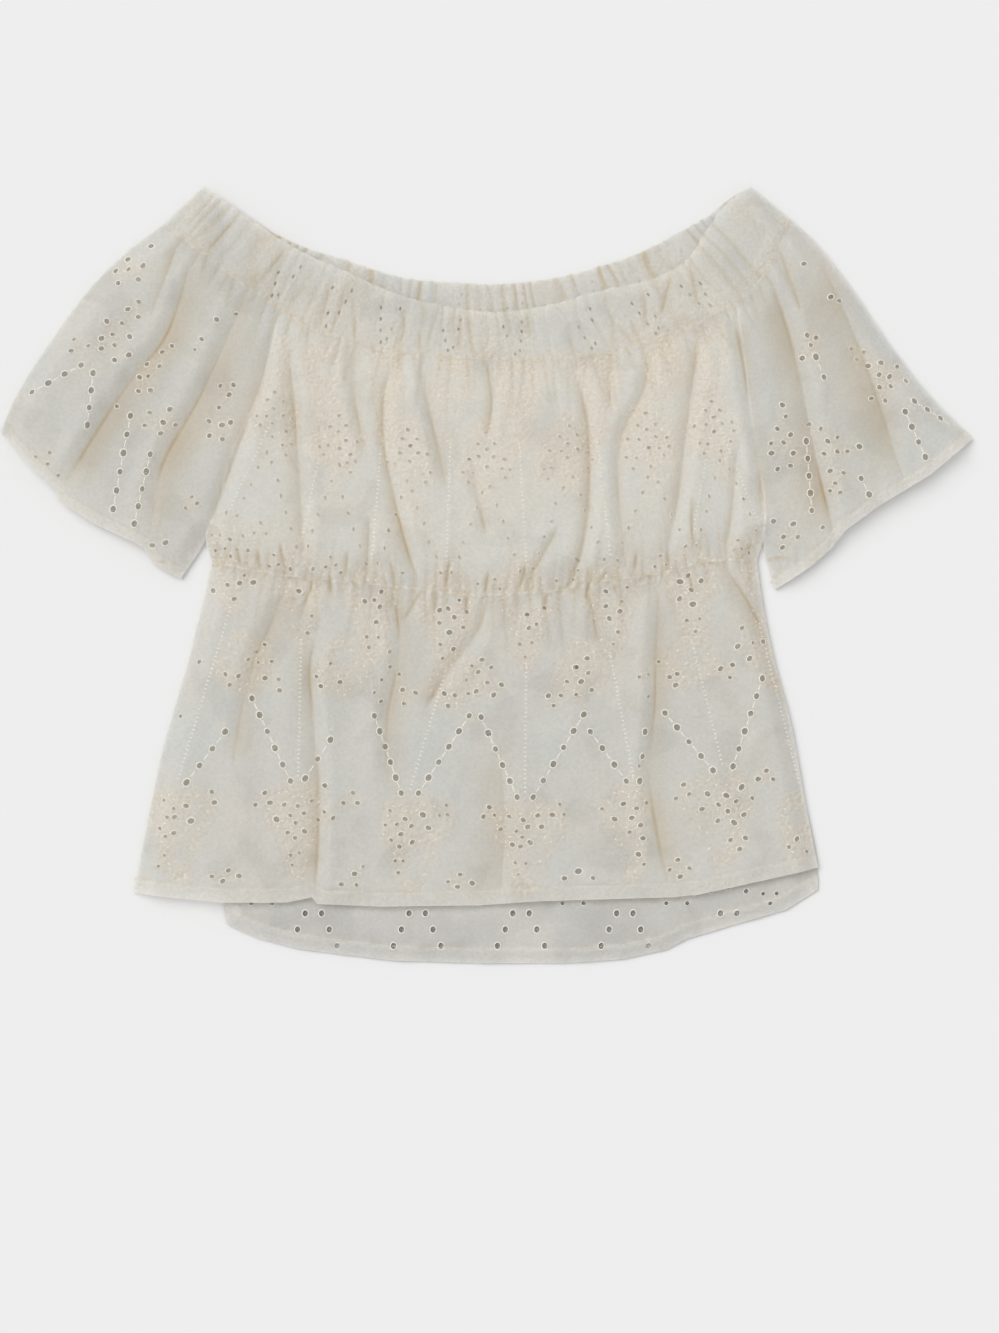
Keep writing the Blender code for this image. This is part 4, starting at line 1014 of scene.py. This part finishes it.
def motif_holes(motifs):
    holes = []
    for motif in motifs:
        if "A" in motif.parts:
            holes += [(x, y, pi / 2, 3.7, 2.9) for x, y in motif_points(motif, ARM_HOLES)]
        if "C" in motif.parts:
            holes += eyelets(motif, CLUSTER_HOLES, pi / 2, 0.88)
        if "S" in motif.parts:
            holes += eyelets(motif, SIDE_HOLES)
    for west, east in zip(motifs, motifs[1:]):
        if "F" in west.parts:
            middle = fan_motif(west, east)
            holes += eyelets(middle, FAN_HOLES, narrow=0.9) + eyelets(middle, LOW_HOLES)
    return holes


def casing_holes(seam):
    """The gathered arms of the top motifs, small and drawn close together by the elastic."""
    holes = []
    for motif in TOP_FEET:
        at = seam.at[np.argmin(np.abs(seam.xy[:, 0] - motif.x))]
        for k, (x, y) in enumerate([(2, 6), (4.2, 13), (6.2, 20), (8.0, 27)]):
            for side in (-1, 1):
                if (k + side + int(motif.x)) % 5:
                    holes.append((at + side * x, y + 1.3 * side, pi / 2, 2.8, 2.0))
    return holes


def chain_holes(panel):
    holes = []
    for x0, y0, x1, y1, count in FRONT_CHAINS[panel]:
        turn = np.arctan2(y1 - y0, x1 - x0)
        for k, t in enumerate(np.linspace(0.0, 1.0, count)):
            grow = 1.0 + 0.1 * sin(2.4 * k + x0)
            holes.append((x0 + (x1 - x0) * t, y0 + (y1 - y0) * t, turn,
                          ARM_LONG * grow, ARM_SHORT * grow))
    return holes


def uneven_holes(holes, seed):
    """The small eyelets as hands and machines leave them: not quite even in place or size."""
    random = np.random.RandomState(seed)
    out = []
    for x, y, turn, long, short in holes:
        grow = random.uniform(0.84, 1.16)
        out.append((x + random.uniform(-1.0, 1.0), y + random.uniform(-1.0, 1.0),
                    turn + random.uniform(-0.9, 0.9), long * grow * random.uniform(1.0, 1.14),
                    short * grow * random.uniform(0.86, 1.0)))
    return out


def spaced(holes, outline, margin, space=5.6):
    """The holes that lie well inside an outline and clear of the ones before them."""
    kept = []
    closed = np.vstack([outline, outline[:1]])
    for hole in holes:
        at = np.array([[hole[0], hole[1]]])
        if not inside(outline, at)[0]:
            continue
        if route_distance(closed, at[:, 0], at[:, 1])[0][0] < hole[3] / 2 + margin:
            continue
        if all(np.hypot(hole[0] - k[0], hole[1] - k[1]) > space for k in kept):
            kept.append(hole)
    return kept


def back_holes():
    """The upside-down motifs of the back, in even columns."""
    holes = {"bodice_back": [], "peplum_back": [], "sleeve_left_back": [], "sleeve_right_back": []}
    for apex in (*BACK_APEX_ROWS, 81):
        drawn_in = 0.84 if apex > 0 else 1.0
        for x in BACK_COLUMNS:
            motif = Motif(x * drawn_in, apex, 36, 36, 0, "CASF")
            arms = motif_points(motif, ARM_HOLES, -1)
            flipped = [(x, y, pi / 2, ARM_LONG, ARM_SHORT) for x, y in arms]
            flipped += eyelets(motif, CLUSTER_HOLES, up=-1) + eyelets(motif, SIDE_HOLES, up=-1)
            for name in ("bodice_back", "peplum_back"):
                holes[name] += flipped
    for x, y, lean in BACK_SLEEVE_APEXES:
        name = "sleeve_left_back" if x < 0 else "sleeve_right_back"
        for side in (-1, 1):
            turn = radians(lean + side * 30.0)
            for reach in np.linspace(6.3, 46.0, 4):
                holes[name].append((x + reach * sin(turn), y - reach * cos(turn),
                                    turn + pi / 2, ARM_LONG, ARM_SHORT))
        for px, py, s in CLUSTER_HOLES:
            for side in ((-1, 1) if px else (1,)):
                qx, qy = turned(side * px, -py, -lean)
                holes[name].append((x + qx, y + qy, 0.0, s, s))
    return holes


def ring_template():
    """A worked rim for a hole of radius 1: a flat roll of thread, closed all round."""
    bm = bmesh.new()
    profile = [(0.93, -0.10), (1.30, -0.05), (1.22, 0.20), (0.98, 0.24)]
    verts = [bm.verts.new((r, 0.0, z)) for r, z in profile]
    edges = [bm.edges.new((verts[k], verts[(k + 1) % 4])) for k in range(4)]
    bmesh.ops.spin(bm, geom=[*verts, *edges], cent=(0, 0, 0), axis=(0, 0, 1), angle=tau,
                   steps=12, use_merge=True)
    bmesh.ops.remove_doubles(bm, verts=bm.verts, dist=1e-4)
    bmesh.ops.recalc_face_normals(bm, faces=bm.faces)
    bm.verts.index_update()
    return bm


def stitch_template():
    """One satin stitch: a small raised bead, longer than it is wide."""
    bm = bmesh.new()
    bmesh.ops.create_uvsphere(bm, u_segments=6, v_segments=4, radius=1.0)
    bmesh.ops.scale(bm, vec=(1.0, 0.42, 0.34), verts=bm.verts)
    bm.verts.index_update()
    return bm


def scatter(name, template, places, material):
    """Copies of a small shape, each with its own place, turn, size and tilt."""
    corners = np.array([v.co for v in template.verts])
    faces = [[v.index for v in f.verts] for f in template.faces]
    points, polygons = [], []
    for x, y, z, turn, size_x, size_y, size_z, tilt in places:
        matrix = np.array(tilt.to_matrix() @ Matrix.Rotation(turn, 3, "Z")
                          @ Matrix.Diagonal((size_x, size_y, size_z)))
        first = len(corners) * len(points)
        points.append(corners @ matrix.T + (x, y, z))
        polygons += [[first + k for k in face] for face in faces]
    return new_object(name, np.vstack(points), polygons, material, {})


def surface_frames(shape, spots, drop=0.0):
    """The height of the cloth at plan spots, and how it tilts there."""
    x, y = np.array([s[0] for s in spots], float), np.array([s[1] for s in spots], float)
    here = shape(x, y)[0]
    east, north = shape(x + 1.5, y)[0], shape(x, y + 1.5)[0]
    up = Vector((0, 0, 1))
    tilts = [up.rotation_difference(Vector(((h - e) / 1.5, (h - n) / 1.5, 1.0)))
             for h, e, n in zip(here, east, north)]
    return here + SHEET / 2 - drop, tilts


def embroider(name, shape, holes, stitches):
    """The worked rims of a panel's holes, its stems and its seed stitches."""
    pieces = []
    if holes:
        heights, tilts = surface_frames(shape, holes, drop=0.12)
        places = [(x, y, z, turn, long / 2, short / 2, 1.9, tilt)
                  for (x, y, turn, long, short), z, tilt in zip(holes, heights, tilts)]
        pieces.append(scatter(f"{name}_eyelet_rims", ring, places, THREAD))
    if stitches:
        heights, tilts = surface_frames(shape, stitches, drop=0.05)
        places = [(x, y, z, turn, long / 2, 1.15 if long > 3 else 1.1, 0.8, tilt)
                  for (x, y, turn, long), z, tilt in zip(stitches, heights, tilts)]
        pieces.append(scatter(f"{name}_stitches", bead, places, THREAD))
    return pieces


ring = ring_template()
bead = stitch_template()


def stem(x0, y0, x1, y1, spacing=3.1):
    """A line of short satin stitches across its own direction."""
    length = np.hypot(x1 - x0, y1 - y0)
    across = np.arctan2(y1 - y0, x1 - x0) + pi / 2
    count = max(2, int(length / spacing))
    return [(x0 + (x1 - x0) * t, y0 + (y1 - y0) * t, across, 2.6)
            for t in np.linspace(0.0, 1.0, count)]


def motif_stitches(motifs, above):
    out = []
    for motif in motifs:
        for x, y in motif_points(motif, SEED_STITCHES):
            out.append((x, y, pi / 4 if x > motif.x else -pi / 4, SEED_LENGTH))
        if above:
            tip = min(above, key=lambda m: abs(m.x - motif.x))
            out += stem(motif.x, motif.y + 4, tip.x, tip.y - 70)
    for west, east in zip(motifs, motifs[1:]):
        if "F" in west.parts:
            middle = motif_points(fan_motif(west, east), FAN_STITCHES)
            out += [(x, y, 0.5, SEED_LENGTH) for x, y in middle]
    return out


def arm_links(panel):
    """The satin bars that join the eyelets of each arm."""
    out = []
    holes = chain_holes(panel)
    for one, two in zip(holes, holes[1:]):
        gap = np.hypot(two[0] - one[0], two[1] - one[1])
        if gap < 18.0 and one[2] == two[2]:
            for t in (0.42, 0.58):
                out.append((one[0] + (two[0] - one[0]) * t, one[1] + (two[1] - one[1]) * t,
                            one[2], 4.0))
    return out


def within(spots, outline, margin):
    closed = np.vstack([outline, outline[:1]])
    at = np.array([[s[0], s[1]] for s in spots])
    good = inside(outline, at) & (route_distance(closed, at[:, 0], at[:, 1])[0] > margin)
    return [s for s, ok in zip(spots, good) if ok]


def clear_of(spots, holes, space=1.6):
    return [s for s in spots
            if all(np.hypot(s[0] - h[0], s[1] - h[1]) > h[3] / 2 + space for h in holes)]


def stitch_line(name, shape, route, offset, pitch, material):
    """A row of lockstitch along an edge, a little way in from it."""
    points = Curve(route, smooth=False).every(pitch)
    run = np.gradient(points, axis=0)
    run /= np.hypot(*run.T)[:, None]
    spots = points + np.column_stack([-run[:, 1], run[:, 0]]) * offset
    heights, tilts = surface_frames(shape, spots)
    beads = [(x, y, z, float(np.arctan2(r[1], r[0])), pitch * 0.42, 0.5, 0.5, tilt)
             for (x, y), z, r, tilt in zip(spots, heights, run, tilts)]
    return scatter(name, bead, beads, material)


# The panels of the back, then those of the front.
upside_down = back_holes()
FRONT_STEP = 2.1
BACK_STEP = 3.0

left_back = joined([HEM_BACK[0]], PEPLUM_LEFT[:-1][::-1])
right_back = joined([HEM_BACK[-1]], PEPLUM_RIGHT[::-1])
outlines = {
    "bodice_back": bodice_outline(neck_back_seam, ARMHOLE_TOP_BACK, BACK_STEP),
    "peplum_back": peplum_outline(HEM_BACK, left_back, right_back, BACK_STEP),
    "sleeve_left_back": sleeve_left_outline(neck_back_seam, ARMHOLE_TOP_BACK, BACK_STEP),
    "sleeve_right_back": sleeve_right_outline(neck_back_seam, ARMHOLE_TOP_BACK, BACK_STEP),
    "bodice_front": bodice_outline(neck_front_seam, ARMHOLE_TOP_FRONT, FRONT_STEP),
    "peplum_front": peplum_outline(HEM_FRONT, PEPLUM_LEFT[::-1], PEPLUM_RIGHT[::-1], FRONT_STEP),
    "sleeve_left_front": sleeve_left_outline(neck_front_seam, ARMHOLE_TOP_FRONT, FRONT_STEP),
    "sleeve_right_front": sleeve_right_outline(neck_front_seam, ARMHOLE_TOP_FRONT, FRONT_STEP),
}
hems = {
    "peplum_back": (HEM_BACK, 12.0), "peplum_front": (HEM_FRONT, 11.0),
    "sleeve_left_back": (SLEEVE_LEFT_HEM, 8.0), "sleeve_left_front": (SLEEVE_LEFT_HEM, 8.0),
    "sleeve_right_back": (SLEEVE_RIGHT_HEM, 8.0), "sleeve_right_front": (SLEEVE_RIGHT_HEM, 8.0),
}
placed_by_hand = {
    "peplum_front": (
        (PEPLUM_LARGE, 4.8, 4.3), (PEPLUM_SMALL, 4.0, 3.6), (PEPLUM_TINY, 3.0, 2.8)),
    "sleeve_left_front": ((SLEEVE_LEFT_SMALL, 4.2, 3.8), (SLEEVE_LEFT_TINY, 3.3, 3.1)),
    "sleeve_right_front": ((SLEEVE_RIGHT_SMALL, 4.2, 3.8), (SLEEVE_RIGHT_TINY, 3.3, 3.1)),
}
holes = {name: [] for name in outlines}
for name in ("bodice_back", "peplum_back", "sleeve_left_back", "sleeve_right_back"):
    holes[name] = spaced(upside_down[name], outlines[name], RIM_MARGIN)
# The peplum's charted eyelets lie outside the bodice, and only keep the draws in step.
charted = uneven_holes([*motif_holes(PEPLUM_FEET), *motif_holes(BODICE_FEET)], 71)
holes["bodice_front"] = [(x, y, turn, 0.8 * long, 0.74 * short) for x, y, turn, long, short
                         in spaced(charted, outlines["bodice_front"], RIM_MARGIN)]
for name, lists in placed_by_hand.items():
    placed = uneven_holes([(x, y, 0.0, long, short) for places, long, short in lists
                           for x, y in places], 73)
    holes[name] = spaced([*chain_holes(name), *placed], outlines[name], RIM_MARGIN)

# Stems and seed stitches.
stitches = {name: [] for name in outlines}
sewn = [*motif_stitches(PEPLUM_FEET, BODICE_FEET), *motif_stitches(BODICE_FEET, TOP_FEET),
        *motif_stitches(TOP_FEET, [])]
for name in ("peplum_front", "bodice_front"):
    stitches[name] = clear_of(within(sewn, outlines[name], 1.5), holes[name])
for name in ("peplum_front", "sleeve_left_front", "sleeve_right_front"):
    stitches[name] = [*stitches[name], *clear_of(arm_links(name), holes[name], 0.4)]

for name, outline in outlines.items():
    front = name.endswith("front")
    hem, depth = hems.get(name, (None, 0.0))
    seeds = [s for s in stitches[name] if s[3] <= SEED_LENGTH]
    obj = cloth_piece(name + "_cloth", outline, FRONT_STEP if front else BACK_STEP, holes[name],
                      shape_of(name), FRONT_CLOTH if front else SHADED_BACK_CLOTH,
                      [*holes[name], *seeds], hem, depth)
    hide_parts(name)

for name, seam, top, shape in (
        ("neck_casing_back", neck_back_seam, neck_back_top, casing_back_shape),
        ("neck_casing_front", neck_front_seam, neck_front_top, casing_front_shape)):
    obj = casing_piece(name + "_cloth", seam, top, shape, CASING_CLOTH, casing_holes(seam))
    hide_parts(name)

# Worked rims and stitches.
extra = {}
for name in outlines:
    extra[name] = embroider(name, shape_of(name), holes[name], stitches[name])
for name, (hem, depth) in hems.items():
    row = stitch_line(f"{name}_hem_stitching", shape_of(name), hem, depth - 1.2, 2.4, STITCH)
    extra[name].append(row)


# The floor, the light and the camera.
def paper():
    """Seamless backdrop paper: matt, very pale grey, with nothing to see on it."""
    material, tree, place = bare_material("backdrop_paper")
    grain = add(tree, "TexNoise", {"Vector": place, "Scale": pattern(PAPER)})
    relief = add(tree, "Bump", {"Height": grain, "Strength": 0.05, "Distance": 0.0002})
    shader = add(tree, "BsdfPrincipled", {
        "Base Color": linear("#DADADA"), "Roughness": 0.95, "Specular IOR Level": 0.1,
        "Normal": relief})
    add(tree, "OutputMaterial", {"Surface": shader})
    return material


bm = bmesh.new()
bmesh.ops.create_grid(bm, x_segments=1, y_segments=1, size=6.0)
bmesh.ops.translate(bm, vec=(0, 0, -0.0004), verts=bm.verts)
floor_mesh = bpy.data.meshes.new("floor")
bm.to_mesh(floor_mesh)
bm.free()
floor_mesh.materials.append(paper())
floor = bpy.data.objects.new("floor", floor_mesh)
bpy.context.scene.collection.objects.link(floor)

world = bpy.data.worlds.new("studio")
bpy.context.scene.world = world
world.use_nodes = True
world.node_tree.nodes["Background"].inputs["Color"].default_value = (1.0, 1.0, 1.0, 1.0)
world.node_tree.nodes["Background"].inputs["Strength"].default_value = 0.82

sun_data = bpy.data.lights.new("window", "SUN")
sun_data.energy = 1.7
sun_data.angle = radians(50)
sun = bpy.data.objects.new("window", sun_data)
sun.rotation_euler = Vector((0.75, -0.55, -1.0)).to_track_quat("-Z", "Y").to_euler()
bpy.context.scene.collection.objects.link(sun)

camera_data = bpy.data.cameras.new("camera")
camera_data.lens = 100.0
camera_data.sensor_width = 36.0
camera = bpy.data.objects.new("camera", camera_data)
camera.location = (0.00975, -0.069, 2.786)
bpy.context.scene.collection.objects.link(camera)
bpy.context.scene.camera = camera
bpy.context.scene.view_settings.view_transform = "Standard"
